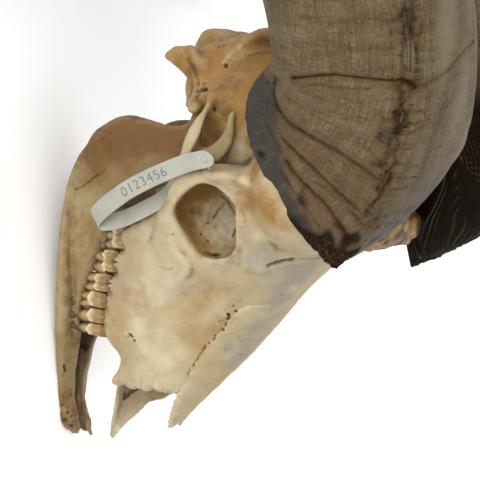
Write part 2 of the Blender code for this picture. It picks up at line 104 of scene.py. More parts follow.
def pick(*objects):
    clearSelection()
    for obj in objects:
        obj.select_set(True)
    bpy.context.view_layer.objects.active = objects[0]


def applyModifier(obj, kind, **settings):
    step = obj.modifiers.new(kind.lower(), kind)
    for name, value in settings.items():
        setattr(step, name, value)
    pick(obj)
    bpy.ops.object.modifier_apply(modifier=step.name)


def joined(name, pieces):
    pick(*pieces)
    bpy.ops.object.join()
    whole = bpy.context.object
    bpy.ops.object.transform_apply(location=True, rotation=True, scale=True)
    whole.name = name
    whole.data.name = name
    return whole


def addBall(centre, radii, turn=(0, 0, 0)):
    clearSelection()
    bpy.ops.mesh.primitive_uv_sphere_add(
        segments=40, ring_count=24, radius=1, location=at(*centre), scale=Vector(radii) * mm,
        rotation=[math.radians(angle) for angle in turn])
    return bpy.context.object


def between(stations, t):
    # smooth value through rows of numbers, t running from 0 to the last row
    last = len(stations) - 1
    i = min(int(t), last - 1)
    u = t - i
    rows = [stations[min(max(k, 0), last)] for k in (i - 1, i, i + 1, i + 2)]
    return [
        b + 0.5 * u * (c - a + u * (2 * a - 5 * b + 4 * c - d + u * (3 * (b - c) + d - a)))
        for a, b, c, d in zip(*rows)
    ]


def readAlong(table, keys):
    return np.interp(keys, sorted(table), [table[k] for k in sorted(table)])


def readOff(table, key):
    return float(readAlong(table, key))


def held(values):
    # kept between 0 and 1
    return np.clip(values, 0, 1)


def lengthOne(rows):
    return rows / np.maximum(np.linalg.norm(rows, axis=-1), 1e-9)[..., None]


def paint(obj, name, values):
    obj.data.attributes.new(name, "FLOAT", "POINT").data.foreach_set("value", values)


def skinOver(name, rings, closeEnds=True):
    # a skin through rings of points, with a fan at each end
    count = len(rings[0])
    points = [p for ring in rings for p in ring]
    faces = []
    for k in range(len(rings) - 1):
        for j in range(count):
            n = (j + 1) % count
            faces.append((k * count + j, k * count + n, (k + 1) * count + n, (k + 1) * count + j))
    if closeEnds:
        for first in (0, (len(rings) - 1) * count):
            points.append(sum((Vector(p) for p in points[first:first + count]), Vector()) / count)
            faces += [(first + j, first + (j + 1) % count, len(points) - 1) for j in range(count)]
    mesh = bpy.data.meshes.new(name)
    mesh.from_pydata([tuple(p) for p in points], [], faces)
    obj = bpy.data.objects.new(name, mesh)
    bpy.context.scene.collection.objects.link(obj)
    faceOutwards(obj)
    return obj


def faceOutwards(obj):
    pick(obj)
    bpy.ops.object.mode_set(mode="EDIT")
    bpy.ops.mesh.select_all(action="SELECT")
    bpy.ops.mesh.normals_make_consistent(inside=False)
    bpy.ops.object.mode_set(mode="OBJECT")


def addBar(spine, sides=18, perStep=4):
    # a bar of bone through rows of x, r, z, half width and half height, its width lying across the spine
    steps = (len(spine) - 1) * perStep
    rows = [between(spine, (len(spine) - 1) * k / steps) for k in range(steps + 1)]
    centres = [at(*row[:3]) for row in rows]
    rings = []
    for k, row in enumerate(rows):
        ahead = centres[min(k + 1, steps)] - centres[max(k - 1, 0)]
        across = ahead.cross(Vector((0, 0, 1)))
        if across.length < 0.2 * ahead.length:
            across = Vector((1, 0, 0))
        across.normalize()
        up = across.cross(ahead).normalized()
        if k in (0, steps):  # rounded ends
            ahead.normalize()
            push = min(row[3], row[4]) * 0.5 * (1 if k else -1)
            cap = [(0.55, push)]
        else:
            cap = []
        full = [(1.0, 0.0)]
        for share, push in (cap + full if k == 0 else full + cap):
            turns = [2 * math.pi * j / sides for j in range(sides)]
            rings.append([
                centres[k] + (across * row[3] * share * math.cos(a) + up * row[4] * share * math.sin(a)) * mm
                + ahead * push * mm for a in turns])
    return skinOver("bar", rings)


def bothSides(make, rows, **settings):
    return [make([(side * row[0], *row[1:]) for row in rows], **settings) for side in (-1, 1)]


def fuse(obj, voxel, rounds):
    applyModifier(obj, "REMESH", mode="VOXEL", voxel_size=voxel * mm)
    if rounds:
        applyModifier(obj, "SMOOTH", factor=0.5, iterations=rounds)


def hollowOut(obj, *cutters):
    for cutter in cutters:
        applyModifier(obj, "BOOLEAN", operation="DIFFERENCE", object=cutter, solver="MANIFOLD")
        bpy.data.objects.remove(cutter)


tints = ("stainAndShade", "ochre", "grey", "pale")
flip = np.array((1, -1, 1))  # between the skull's own axes and Blender's


def openClay(obj):
    # a mesh as arrays, in the skull's frame, with an empty tint of each kind
    mesh = obj.data
    count = len(mesh.vertices)
    place = np.empty(count * 3)
    mesh.vertices.foreach_get("co", place)
    edges = np.empty(len(mesh.edges) * 2, dtype=np.int64)
    mesh.edges.foreach_get("vertices", edges)
    clay = {"obj": obj, "place": place.reshape(-1, 3) * flip / mm, "edges": edges.reshape(-1, 2)}
    readNormals(clay, 3)
    for name in tints:
        clay[name] = np.zeros(count)
    return clay


def readNormals(clay, rounds):
    mesh = clay["obj"].data
    normal = np.empty(len(mesh.vertices) * 3)
    mesh.vertices.foreach_get("normal", normal)
    clay["normal"] = lengthOne(spread(clay, normal.reshape(-1, 3) * flip, rounds))


def writePlaces(clay):
    clay["obj"].data.vertices.foreach_set("co", (clay["place"] * flip * mm).ravel())


def spread(clay, values, rounds):
    # each point's value averaged with its neighbours', again and again
    one, two = clay["edges"].T
    count = len(clay["place"])
    share = np.maximum(np.bincount(one, minlength=count) + np.bincount(two, minlength=count), 1)
    values = np.array(values, dtype=float)
    columns = values.reshape(count, -1)
    for _ in range(rounds):
        columns = np.stack([
            (np.bincount(one, column[two], count) + np.bincount(two, column[one], count)) / share
            for column in columns.T], axis=1)
    return columns.reshape(values.shape)


def sunken(clay, rounds):
    # how far each point lies below its surroundings, in millimetres
    return ((spread(clay, clay["place"], rounds) - clay["place"]) * clay["normal"]).sum(axis=1)


def grain(clay, size, shift):
    # noise at each point; size is in millimetres
    scale, away = 1 / size, Vector((shift, shift, shift))
    return np.array([noise.noise(Vector(p) * scale + away) for p in clay["place"].tolist()])


def nearLine(clay, line, reach):
    # which points lie within reach of a line, how far off they are and how far along it
    line = np.array([tuple(p) for p in line], dtype=float)
    if len(line) > 1:
        lengths = np.concatenate(([0], np.cumsum(np.linalg.norm(np.diff(line, axis=0), axis=1))))
        ticks = np.linspace(0, lengths[-1], max(2, int(lengths[-1] / 0.7)))
        line = np.stack([np.interp(ticks, lengths, line[:, k]) for k in range(3)], axis=1)
    low, high = line.min(axis=0) - reach, line.max(axis=0) + reach
    inside = np.nonzero(np.all((clay["place"] > low) & (clay["place"] < high), axis=1))[0]
    gaps = np.linalg.norm(clay["place"][inside][:, None, :] - line[None], axis=2)
    nearest, gap = gaps.argmin(axis=1), gaps.min(axis=1)
    kept = gap < reach
    return inside[kept], gap[kept], nearest[kept] / max(1, len(line) - 1)


def carve(clay, line, width, depth, stainAndShade=0.0, ragged=0.0, tint="stainAndShade"):
    # a groove along a line, or a pit at one point; a negative depth raises a ridge; width is the half width
    found, gap, share = nearLine(clay, line, width * 1.6)
    if not len(found):
        return
    rough = np.array([noise.noise(Vector((s * 9.0, width, depth)) * 2.3) for s in share.tolist()]) * ragged
    fall = held(1 - (gap / (width * (1 + rough))) ** 2) ** 1.5
    clay["place"][found] -= clay["normal"][found] * (depth * (1 + rough) * fall)[:, None]
    if stainAndShade:
        wide = held(1 - (gap / (width * 1.5)) ** 2)
        clay[tint][found] = np.maximum(clay[tint][found], stainAndShade * wide * (1 + 0.5 * rough))


def tintAt(clay, tint, points, radius, amount, ragged=0.6):
    # a soft patch of colour round a point or along a line
    found, gap, _ = nearLine(clay, points, radius)
    if not len(found):
        return
    rough = np.array([noise.noise(Vector(p) / (0.45 * radius + 2)) for p in clay["place"][found].tolist()])
    fall = np.clip((1 - (gap / radius) ** 2) * (1 + ragged * 2 * rough), 0, 1.2)
    clay[tint][found] = np.clip(clay[tint][found] + amount * fall, -1, 1.5)


def marks(tree, pixels, otherSide=True):
    # a line drawn over the picture, laid on the mesh, and the same line on the other side of the skull
    near = [seenAt(tree, *pixel) for pixel in pixels]
    return [near, snapped(tree, [(-p.x, p.y, p.z) for p in near])] if otherSide else [near]


def onPicture(clay):
    # where each point, or its mirror on the near side, falls in the picture, and how squarely it faces us
    near = np.stack([-np.abs(clay["place"][:, 0]), -clay["place"][:, 1], clay["place"][:, 2]], axis=1) * mm
    turned = np.array(cameraInSkull.inverted())
    seen = near @ turned[:3, :3].T + turned[:3, 3]
    half, reach = cameraPlace["frame"] / 2, cameraPlace["pixelsPerRadian"]
    across, down = half - reach * seen[:, 0] / seen[:, 2], half + reach * seen[:, 1] / seen[:, 2]
    outward = clay["normal"] * (np.sign(clay["place"][:, :1]) * (-1, 0, 0) + (0, -1, 1))
    facing = outward @ np.array(cameraInSkull)[:3, 2]
    return across, down, facing


def closeClay(clay):
    writePlaces(clay)
    for name in tints:
        paint(clay["obj"], name, np.clip(clay[name], 0, 1.5).astype(np.float32))
    clay["obj"].data.update()


def thinTo(obj, triangles):
    now = sum(len(p.vertices) - 2 for p in obj.data.polygons)
    if now > triangles:
        applyModifier(obj, "DECIMATE", ratio=triangles / now)
    return now


def settle(piece, slotName, finish, *nodes):
    # lean the finished piece over, give it its finish, and let it stand for its CAD node
    piece.data.transform(leanOver)
    piece.data.materials.clear()
    piece.data.materials.append(finish)
    pick(piece)
    bpy.ops.object.shade_smooth()
    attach(piece, "root")
    if nodes:
        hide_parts(*nodes)
    return piece


def hexColour(code):
    # an sRGB hex value as linear red, green and blue
    parts = [int(code[k:k + 2], 16) / 255 for k in (1, 3, 5)]
    return (*[c / 12.92 if c <= 0.04045 else ((c + 0.055) / 1.055) ** 2.4 for c in parts], 1)


def addNode(material, kind, settings=None, links=None):
    node = material.node_tree.nodes.new("ShaderNode" + kind)
    for name, value in (settings or {}).items():
        if isinstance(name, int) or name in node.inputs:
            node.inputs[name].default_value = value
        else:
            setattr(node, name, value)
    for socket, source in (links or {}).items():
        material.node_tree.links.new(source, node.inputs[socket])
    return node


def readTones(material, names):
    return {name: addNode(material, "Attribute", {"attribute_name": name}).outputs["Fac"] for name in names}


def addNoise(material, size, detail, roughness, place, **more):
    # size in millimetres
    values = {"Scale": 1000 / size, "Detail": detail, "Roughness": roughness, **more}
    return addNode(material, "TexNoise", values, {"Vector": place}).outputs["Fac"]


def twoTones(material, amount, low, high):
    # a ramp between two colours, each given with its place on the ramp
    ramp = addNode(material, "ValToRGB", links={"Fac": amount})
    for element, (position, tone) in zip(ramp.color_ramp.elements, (low, high)):
        element.position = position
        element.color = hexColour(tone)
    return ramp.outputs["Color"]


def mapped(material, amount, low, high, least, most):
    values = {"From Min": low, "From Max": high, "To Min": least, "To Max": most}
    return addNode(material, "MapRange", values, {"Value": amount}).outputs[0]


def laid(material, colour, tone, amount, low, high, most):
    # a tone laid over the colour, up to a share of most, where amount passes from low to high
    share = mapped(material, amount, low, high, 0.0, most)
    settings = {"data_type": "RGBA", 7: hexColour(tone)}
    return addNode(material, "Mix", settings, {0: share, 6: colour}).outputs[2]


def reckon(material, operation, *inputs):
    # a Math node on numbers and sockets
    numbers = {k: value for k, value in enumerate(inputs) if isinstance(value, float)}
    sockets = {k: value for k, value in enumerate(inputs) if not isinstance(value, float)}
    return addNode(material, "Math", {"operation": operation, **numbers}, sockets).outputs[0]


def wire(material, shader, **sources):
    for socket, source in sources.items():
        material.node_tree.links.new(source, shader.inputs[socket.replace("_", " ")])


def bumped(material, height, strength, millimetres):
    settings = {"Strength": strength, "Distance": millimetres * mm}
    return addNode(material, "Bump", settings, {"Height": height}).outputs["Normal"]


def newMaterial(name, roughness, specular):
    material = bpy.data.materials.new(name)
    material.use_nodes = True
    shader = material.node_tree.nodes["Principled BSDF"]
    shader.inputs["Roughness"].default_value = roughness
    shader.inputs["IOR"].default_value = specular
    return material, shader


studio = {
    "floor": "#FFFFFF", "floorHalf": 6.0, "floorGlow": 0.07, "skyStrength": 1.02,
    "lights": (
        # name, place in metres, size, watts, aim
        ("keySoftbox", (-1.5, 0.75, 1.0), 1.1, 18, (0, 0, 0.13)),
        ("lowSoftbox", (-1.6, 0.2, 0.35), 0.9, 5, (0, -0.05, 0.1)),
        ("farFill", (1.4, -0.9, 1.3), 1.4, 6, (0, 0, 0.15)),
    ),
}


def buildStudio(values):
    clearSelection()
    bpy.ops.mesh.primitive_plane_add(size=2 * values["floorHalf"], location=(0, 0, 0))
    floor = bpy.context.object
    floor.name = "studioFloor"
    bpy.ops.object.transform_apply(location=True, rotation=True, scale=True)
    material, shader = newMaterial("mattePaintedFloor", 0.9, 1.3)
    shader.inputs["Base Color"].default_value = hexColour(values["floor"])
    shader.inputs["Emission Color"].default_value = (1, 1, 1, 1)
    shader.inputs["Emission Strength"].default_value = values["floorGlow"]
    floor.data.materials.append(material)
    for name, place, size, watts, aim in values["lights"]:
        lamp = bpy.data.lights.new(name, "AREA")
        lamp.shape = "DISK"
        lamp.size = size
        lamp.energy = watts
        holder = bpy.data.objects.new(name, lamp)
        holder.location = place
        holder.rotation_euler = (Vector(place) - Vector(aim)).to_track_quat("Z", "Y").to_euler()
        bpy.context.scene.collection.objects.link(holder)
    world = bpy.data.worlds.new("studioSky")
    world.use_nodes = True
    world.node_tree.nodes["Background"].inputs["Color"].default_value = (1, 1, 1, 1)
    world.node_tree.nodes["Background"].inputs["Strength"].default_value = values["skyStrength"]
    bpy.context.scene.world = world
    bpy.context.scene.view_settings.view_transform = "Standard"
    bpy.context.scene.view_settings.look = "None"


buildStudio(studio)
print("studio and camera ready")


def boneFinish(name, shades):
    # macerated, dried bone, handled for years: a satiny cream with ochre grease stains, grey weathering, dark
    # dirt and painted shade in the seams, hollows and holes, and a fine fibrous, porous grain
    roughness = 0.52
    material, shader = newMaterial(name, roughness, 1.42)
    place = addNode(material, "TexCoord").outputs["Object"]
    read = readTones(material, tints)
    broad = addNoise(material, 45, 5.0, 0.62, place)
    mottle = addNoise(material, 9, 6.0, 0.65, place, Distortion=0.6)  # greasy patches, 9 mm
    # pores 1.3 mm apart; real ones are under 0.5 mm, drawn coarser so that they show
    pores = addNode(material, "TexVoronoi", {"Scale": 1000 / 1.3, "Randomness": 1.0}, {"Vector": place})
    fine = addNoise(material, 1.6, 4.0, 0.7, place)
    colour = twoTones(material, broad, (0.36, shades["warm"]), (0.62, shades["cream"]))
    colour = laid(material, colour, shades["freckle"], mottle, 0.54, 0.8, 0.35)
    # the stain tint carries real stains and painted shade alike; its brown and darkest tones are laid over
    # both
    for tint, shade, breakup, low, high, most in (
            ("ochre", "ochre", mottle, 0.12, 0.85, 0.85), ("grey", "grey", mottle, 0.15, 0.9, 0.8),
            ("pale", "pale", fine, 0.15, 0.9, 0.75), ("stainAndShade", "brown", mottle, 0.12, 0.6, 0.8),
            ("stainAndShade", "dirtAndShade", fine, 0.55, 1.05, 0.92)):
        amount = reckon(material, "ADD", reckon(material, "MULTIPLY_ADD", breakup, 0.55, -0.27), read[tint])
        colour = laid(material, colour, shades[shade], amount, low, high, most)
    speckle = mapped(material, pores.outputs["Distance"], 0.05, 0.28, 0.35, 0.0)
    spots = reckon(material, "MULTIPLY", speckle, mapped(material, mottle, 0.5, 0.7, 0.0, 1.0))
    speckled = addNode(
        material, "Mix", {"data_type": "RGBA", 7: hexColour(shades["brown"])},
        {0: spots, 6: colour}).outputs[2]
    rough = mapped(material, mottle, 0.3, 0.75, roughness - 0.1, roughness + 0.16)
    normal = bumped(material, reckon(material, "MULTIPLY_ADD", spots, -0.6, fine), 0.35, 0.35)
    wire(material, shader, Base_Color=speckled, Roughness=rough, Normal=normal)
    return material


craniumBone = boneFinish("driedSkullBone", {
    "cream": "#A39577", "warm": "#9B8760", "freckle": "#8F744A", "ochre": "#855A09", "grey": "#857D6E",
    "pale": "#BDB396", "brown": "#573C20", "dirtAndShade": "#28180D",
})
jawBone = boneFinish("stainedJawBone", {
    "cream": "#86744E", "warm": "#775C34", "freckle": "#6A4C28", "ochre": "#5F3B05", "grey": "#6E634F",
    "pale": "#9C8B64", "brown": "#432B12", "dirtAndShade": "#1F1309",
})

skull = {
    "voxel": 1.25, "triangles": 190000,
    "orbit": {"x": 58, "r": -40, "z": 75},  # middle of the eye socket
    "toothBed": 51.0,  # where the upper tooth row begins
}

snoutStations = (
    # r, palate z, roof z, half widths at palate and cheek, cheek z, nasal seam x and z
    (84.5, -7.4, 56.4, 17.1, 21.6, 17.7, 14.3, 42.8),
    (80, -6, 60, 18, 23, 20, 15, 46),
    (64, -1, 75, 21, 28, 24, 18.5, 58),
    (52, -8, 86, 28, 32, 24, 21, 66),
    (36, -6, 99, 32, 38, 30, 25, 77),
    (18, -2, 113, 35, 44, 38, 31, 88),
    (12, 0, 120.5, 35.5, 46, 41, 33, 93),
    (0, 3, 130, 37, 51, 48, 38, 104),
    (-18, 7, 147, 37, 52, 56, 44, 122),
    (-36, 14, 158, 30, 44, 70, 47, 134),
    (-56, 22, 165, 20, 34, 84, 46, 140),
)


def snoutRing(row):
    r, low, top, palate, cheek, cheekZ, seam, seamZ = row
    half = [
        (0.0, low + 2.5), (palate * 0.62, low + 1.5), (palate, low), (palate + 1.5, low + 5),
        (0.5 * (palate + cheek) + 1, 0.5 * (low + cheekZ)), (cheek, cheekZ),
        (0.5 * (cheek + seam) + 1.5, 0.5 * (cheekZ + seamZ)), (seam, seamZ),
        (seam * 0.66, 0.32 * seamZ + 0.68 * top), (0.0, top),
    ]
    loop = half + [(-x, z) for x, z in reversed(half[1:-1])]
    closed = loop[-1:] + loop + loop[:2]
    fine = [between(closed, 1 + len(loop) * k / 72) for k in range(72)]
    return [at(x, r, z) for x, z in fine]


craniumBalls = (
    # centre, radii, turn; the brow, crest, brain, slope, back of the head and nape
    ((0, -60, 140), (50, 44, 38), (0, 0, 0)), ((0, -50, 156), (30, 25, 30), (0, 0, 0)),
    ((0, -47, 167), (42, 20, 27), (0, 0, 0)), ((0, -110, 92), (43, 56, 42), (0, 0, 0)),
    ((0, -92, 118), (40, 44, 38), (18, 0, 0)), ((0, -148, 74), (41, 19, 30), (-12, 0, 0)),
    ((0, -160, 84), (26, 8, 14), (0, 0, 0)), ((0, -158, 70), (24, 9, 22), (-8, 0, 0)),
)
craniumPairs = (
    # condyle and its root, ear capsule, mastoid, pterygoid wing, wall of the eye socket
    ((17, -158.5, 51), (10, 10, 11), (0, 16, 0)), ((13, -160, 58), (13, 9, 13), (0, 0, 0)),
    ((22, -128, 44), (9, 13, 8), (0, 0, 12)), ((32, -132, 60), (11, 14, 14), (0, 0, 0)),
    ((13, -52, 26), (4, 20, 13), (0, 0, 0)), ((40, -36, 82), (21, 29, 31), (0, 0, 0)),
    # side of the nape, temple, root of the cheek arch, and the bone that closes the temple pit below
    ((25, -147, 62), (14, 12, 17), (0, 0, 0)), ((20, -137, 78), (18.5, 20, 24), (0, 0, 0)),
    ((34, -119, 66), (11, 14, 12), (0, 0, 0)), ((26, -104, 62), (9, 22, 15), (0, 0, 0)),
    ((32, -135, 55), (8.5, 12, 12), (0, 0, 0)),
)
craniumBars = (
    # nuchal crest, from behind the ear up to the nape
    ((40, -128, 62, 3, 3), (38, -143, 69, 3, 3), (34, -157, 80, 3.5, 3.5), (29, -166, 90, 4, 3.5),
     (19, -167, 96, 4, 3.5), (8, -165, 97, 4, 3.5), (0, -165, 97, 4, 3.5)),
    # paroccipital process, a broad leaf
    ((32, -144, 58, 7, 15), (35, -144, 48, 5.5, 14.5), (36, -146.5, 38, 3.8, 10.5),
     (37, -147.5, 30, 2.8, 7), (38, -146, 25, 2, 3)),
    # ridges under the ear
    ((37, -121, 49, 3.5, 3.5), (40, -120, 58, 4, 4), (41, -119, 64, 3, 3)),
    ((27, -116, 41.5, 4, 4), (35, -115, 50, 4, 4.5), (43, -115, 61, 4, 4)),
    # side of the brow over the eye
    ((44, -12, 107, 8, 11), (46, -22, 109, 8, 11), (50, -42, 110, 8, 10), (48, -64, 112, 8, 10),
     (46, -84, 112, 9, 12)),
    # base of the horn core
    ((30, -48, 128, 30, 34), (42, -60, 141, 34, 42), (47, -65, 148, 33, 44)),
    # rough saddle of bone between the horns
    ((0, -42, 164, 14, 14), (12, -43, 173, 14, 14), (24, -44, 181, 12, 13), (36, -48, 186, 9, 10)),
)
craniumArches = (
    # cheek arch: face, under the eye, back to the jaw joint
    ((42, 6, 44, 5, 12), (47.5, -14, 44, 5, 12), (54, -34, 46, 4.5, 8), (60.5, -54, 52.5, 3.2, 6),
     (62, -70, 57.5, 2.4, 5.2), (61.7, -84, 58.6, 2, 4.2), (61.5, -91, 60.9, 1.9, 5),
     (61, -98, 63.8, 1.9, 5), (60, -104.7, 66, 1.9, 3.8), (56.5, -110, 67, 2.2, 2.4),
     (50, -114.5, 67, 3.5, 2.4), (42, -119, 66.5, 7, 4), (34, -122, 69, 9, 6)),
    # back edge of the cheek, from the last tooth up to the arch
    ((36.5, -18, 8, 4, 9), (40.5, -23, 18, 4.5, 10), (43.5, -27, 27, 4, 10.5), (48, -35, 39, 4, 9.5),
     (55.5, -49, 50, 3.2, 6)),
    # broad bar behind the eye, flush with the brow and the base of the horn
    ((46, -74, 114, 11, 18), (50.5, -70, 102, 8, 17), (55.5, -69.5, 90, 5, 12.5), (59.5, -70, 78, 3.4, 8.5),
     (61, -67, 62, 2.8, 5.5)),
    # fills the dip between that bar and the rim of the socket
    ((54, -64, 90, 3, 8), (52.5, -62, 99, 4.5, 10), (49, -58, 106, 6.5, 12), (46, -50, 112, 8, 12),
     (43, -40, 114, 8, 10)),
)

skullBase = (
    (0, -163, 44, 13, 9), (0, -140, 36, 15, 9), (0, -122, 40, 14, 8.5), (0, -105, 44, 13, 8),
    (0, -60, 38, 9, 9), (0, -30, 26, 8, 12),
)
# the opening of the eye socket, as r and z from its middle
orbitOutline = (
    (-3.8, -22.6), (-11.5, -19.5), (-18.6, -13.2), (-23.4, -4.6), (-23.2, 4.1), (-18.1, 11.8),
    (-10.8, 18.2), (-1.7, 21.1), (8.3, 21.3), (17.6, 20.2), (23.2, 13.9), (25.2, 6.5), (24.6, -0.4),
    (21.6, -6.6), (16.2, -11.8), (9.5, -16.3), (2.7, -20.9),
)
# how far the bone spreads round the socket: degrees from the nose side, rising towards the brow
orbitSpread = {
    -180: 0.52, -150: 0.42, -125: 0.38, -103: 0.42, -85: 0.8, -60: 1, 60: 1, 100: 1.05, 150: 0.8, 165: 0.6,
    180: 0.52,
}


def orbitRings(side, values, rows, count=72):
    # ovals round the eye socket: how far outside its opening, how far out from its plane, and a scale
    closed = orbitOutline[-1:] + orbitOutline + orbitOutline[:2]
    shape = [between(closed, 1 + len(orbitOutline) * k / count) for k in range(count)]
    rings = []
    for wider, out, scale in rows:
        ring = []
        for r, z in shape:
            share = readOff(orbitSpread, math.degrees(math.atan2(z, r)))
            more = scale * (1 + (wider * share if wider > 0 else wider) / math.hypot(r, z))
            r2, z2 = r * more, z * more
            x = values["x"] - 0.16 * r2 - 0.18 * z2 + out
            ring.append(at(side * x, values["r"] + r2, values["z"] + z2))
        rings.append(ring)
    return rings


def orbitMound(side, values):
    # the bone that rises to the rim of the socket
    rows = (
        (-3, -26, 1), (-3, -3, 1), (0, -0.7, 1), (3, 0.3, 1), (8, 0, 1), (13, -1.6, 1), (18, -4.6, 1),
        (23, -9.5, 1), (26, -17, 1), (22, -30, 1))
    return skinOver("orbitMound", orbitRings(side, values, rows))


def orbitHollow(side, values):
    rows = (
        (0, 34, 1.1), (0, 12, 1.02), (0, 2, 1.0), (0, 0, 1), (0, -3, 1.005), (0, -8, 1.03), (0, -14, 1.04),
        (0, -20, 1.0), (0, -26, 0.91), (0, -31, 0.77), (0, -34.5, 0.58), (0, -36.5, 0.34), (0, -37.2, 0.12),
    )
    return skinOver("orbitHollow", orbitRings(side, values, rows))


def buildCranium(values):
    pieces = [skinOver("snout", [snoutRing(between(snoutStations, 10 * k / 60)) for k in range(61)])]
    pieces += [addBall(*ball) for ball in craniumBalls]
    pieces += [addBar(skullBase)]
    for centre, radii, turn in craniumPairs:
        for side in (-1, 1):
            pieces.append(addBall(
                (side * centre[0], *centre[1:]), radii, (turn[0], side * turn[1], side * turn[2])))
    for rows in craniumBars:
        pieces += bothSides(addBar, rows)
    pieces += bothSides(
        addBar, ((19, 78, -4, 2.5, 3), (20, 83.5, -6, 1.6, 2.2), (20.6, 88, -7.6, 0.9, 1.2)))
    r = values["toothBed"]
    for length, width in upperTeethSizes:  # sockets of the cheek teeth; the crowns are pieces of their own
        middle = r - length / 2
        gum, x = readOff(upperGum, middle), readOff(upperBed, middle)
        for side in (-1, 1):
            pieces.append(addBar([
                (side * (x - 1), middle, gum + 10, width / 2, length / 2 - 0.2),
                (side * x, middle, gum, width / 2, length / 2 - 0.3),
                (side * x, middle, gum - 1.5, width / 2 - 0.6, length / 2 - 1.0)]))
        r -= length
    bone = joined("craniumShell", pieces)
    fuse(bone, 1.8, 8)
    for side in (-1, 1):  # the pit behind the eye and the space under it
        hollowOut(
            bone, addBall((side * 51, -94, 65), (15, 23, 27), (0, side * -8, 0)),
            addBall((side * 47, -79, 40), (18, 36, 22)))
    pieces = [bone] + [orbitMound(side, values["orbit"]) for side in (-1, 1)]
    for rows in craniumArches:
        pieces += bothSides(addBar, rows)
    bone = joined("craniumShell", pieces)
    fuse(bone, 1.4, 3)
    for side in (-1, 1):
        hollowOut(bone, orbitHollow(side, values["orbit"]))
    hollowOut(
        bone, noseCavity(), addBall((0, 34, -10), (17, 62, 9), (11, 0, 0)),
        addBall((0, -168, 47), (8, 22, 9)))
    fuse(bone, values["voxel"], 3)
    return bone


def noseCavity():
    rings = []
    stations = ((104, -4, 52, 15), (88, -4, 50, 14.5), (74, 1, 60, 17), (58, 4, 68, 18), (46, 14, 60, 11))
    for t in range(17):
        r, low, top, half = between(stations, t / 4)
        middle, tall = 0.5 * (low + top), 0.5 * (top - low)
        ring = []
        for k in range(40):
            a = 2 * math.pi * k / 40
            wide = math.copysign(abs(math.cos(a)) ** 0.7, math.cos(a))
            high = math.copysign(abs(math.sin(a)) ** 0.7, math.sin(a))
            ring.append(at(half * wide * (1 - 0.45 * max(0, high)), r, middle + tall * high))
        rings.append(ring)
    return skinOver("noseCavity", rings)


# length, width, front to back
upperTeethSizes = ((9, 10), (11, 12), (12, 13), (14, 15), (17, 16), (19, 15))
upperGum = {-31: 9.5, -20: 6.2, 3: -3.4, 26: -9.6, 51: -9.8}
upperBed = {-31: 33, 51: 24}  # how far out the sockets of the teeth stand


def ledge(clay, pixels, sharp, soft, height):
    # a plate of bone that ends in a step along a line of the picture: raised on the left of it, and running
    # out in soft pixels, with a faint painted shadow along the foot of the step
    across, down, facing = onPicture(clay)
    line = np.array(pixels, dtype=float)
    gap, along, left = np.full(len(across), 1e9), np.zeros(len(across)), np.zeros(len(across))
    for k, (start, end) in enumerate(zip(line[:-1], line[1:])):
        run = end - start
        share = held(((across - start[0]) * run[0] + (down - start[1]) * run[1]) / (run @ run))
        offX, offY = across - start[0] - share * run[0], down - start[1] - share * run[1]
        far = np.hypot(offX, offY)
        closer = far < gap
        gap = np.where(closer, far, gap)
        along = np.where(closer, (k + share) / (len(line) - 1), along)
        left = np.where(closer, np.sign(run[0] * offY - run[1] * offX), left)
    signed = gap * left
    rise = 0.5 + 0.5 * np.tanh(signed / sharp)
    fall = held(1 - np.maximum(signed, 0) / soft) ** 1.3
    ends = held(4 * along) * held(4 * (1 - along))
    ends = ends * ends * (3 - 2 * ends)
    lift = height * rise * fall * ends * held(facing * 3) * (signed > -4 * sharp)
    clay["place"] += clay["normal"] * lift[:, None]
    # painted shadow along the foot of the step, laid into the stain tint
    shade = np.exp(-((signed + 0.8 * sharp) / (1.1 * sharp)) ** 2) * ends * (facing > 0.1)
    clay["stainAndShade"] = np.maximum(clay["stainAndShade"], 0.06 * shade)


def wiggled(line, size, every=2.0):
    # a seam of bone is never straight: the line with small turns to and fro
    line = [Vector(p) for p in line]
    far = sum((b - a).length for a, b in zip(line, line[1:]))
    steps = max(2, int(far / every))
    found = []
    for k in range(steps + 1):
        t = (len(line) - 1) * k / steps
        i = min(int(t), len(line) - 2)
        p = line[i].lerp(line[i + 1], t - i)
        found.append(p + noise.noise_vector(p * 0.35) * size)
    return found


def easeNear(clay, line, reach, rounds, amount=1.0):
    # soften the shape round a line or a point
    found, gap, _ = nearLine(clay, line, reach)
    weight = np.zeros(len(clay["place"]))
    weight[found] = held(1.6 * (1 - gap / reach)) * amount
    for _ in range(rounds):
        clay["place"] += (spread(clay, clay["place"], 1) - clay["place"]) * weight[:, None] * 0.7


def pushNear(clay, point, reach, amount, shape=2.0):
    # swell or sink a broad area
    found, gap, _ = nearLine(clay, point, reach)
    fall = held(1 - (gap / reach) ** 2) ** shape
    clay["place"][found] += clay["normal"][found] * (amount * fall)[:, None]


def snapped(tree, points):
    # the nearest points of the mesh to points given in the skull's frame
    found = []
    for x, r, z in points:
        hit = tree.find_nearest(at(x, r, z))[0]
        found.append(Vector((hit.x, -hit.y, hit.z)) / mm)
    return found


def refreshNormals(clay):
    writePlaces(clay)
    clay["obj"].data.update()
    readNormals(clay, 2)


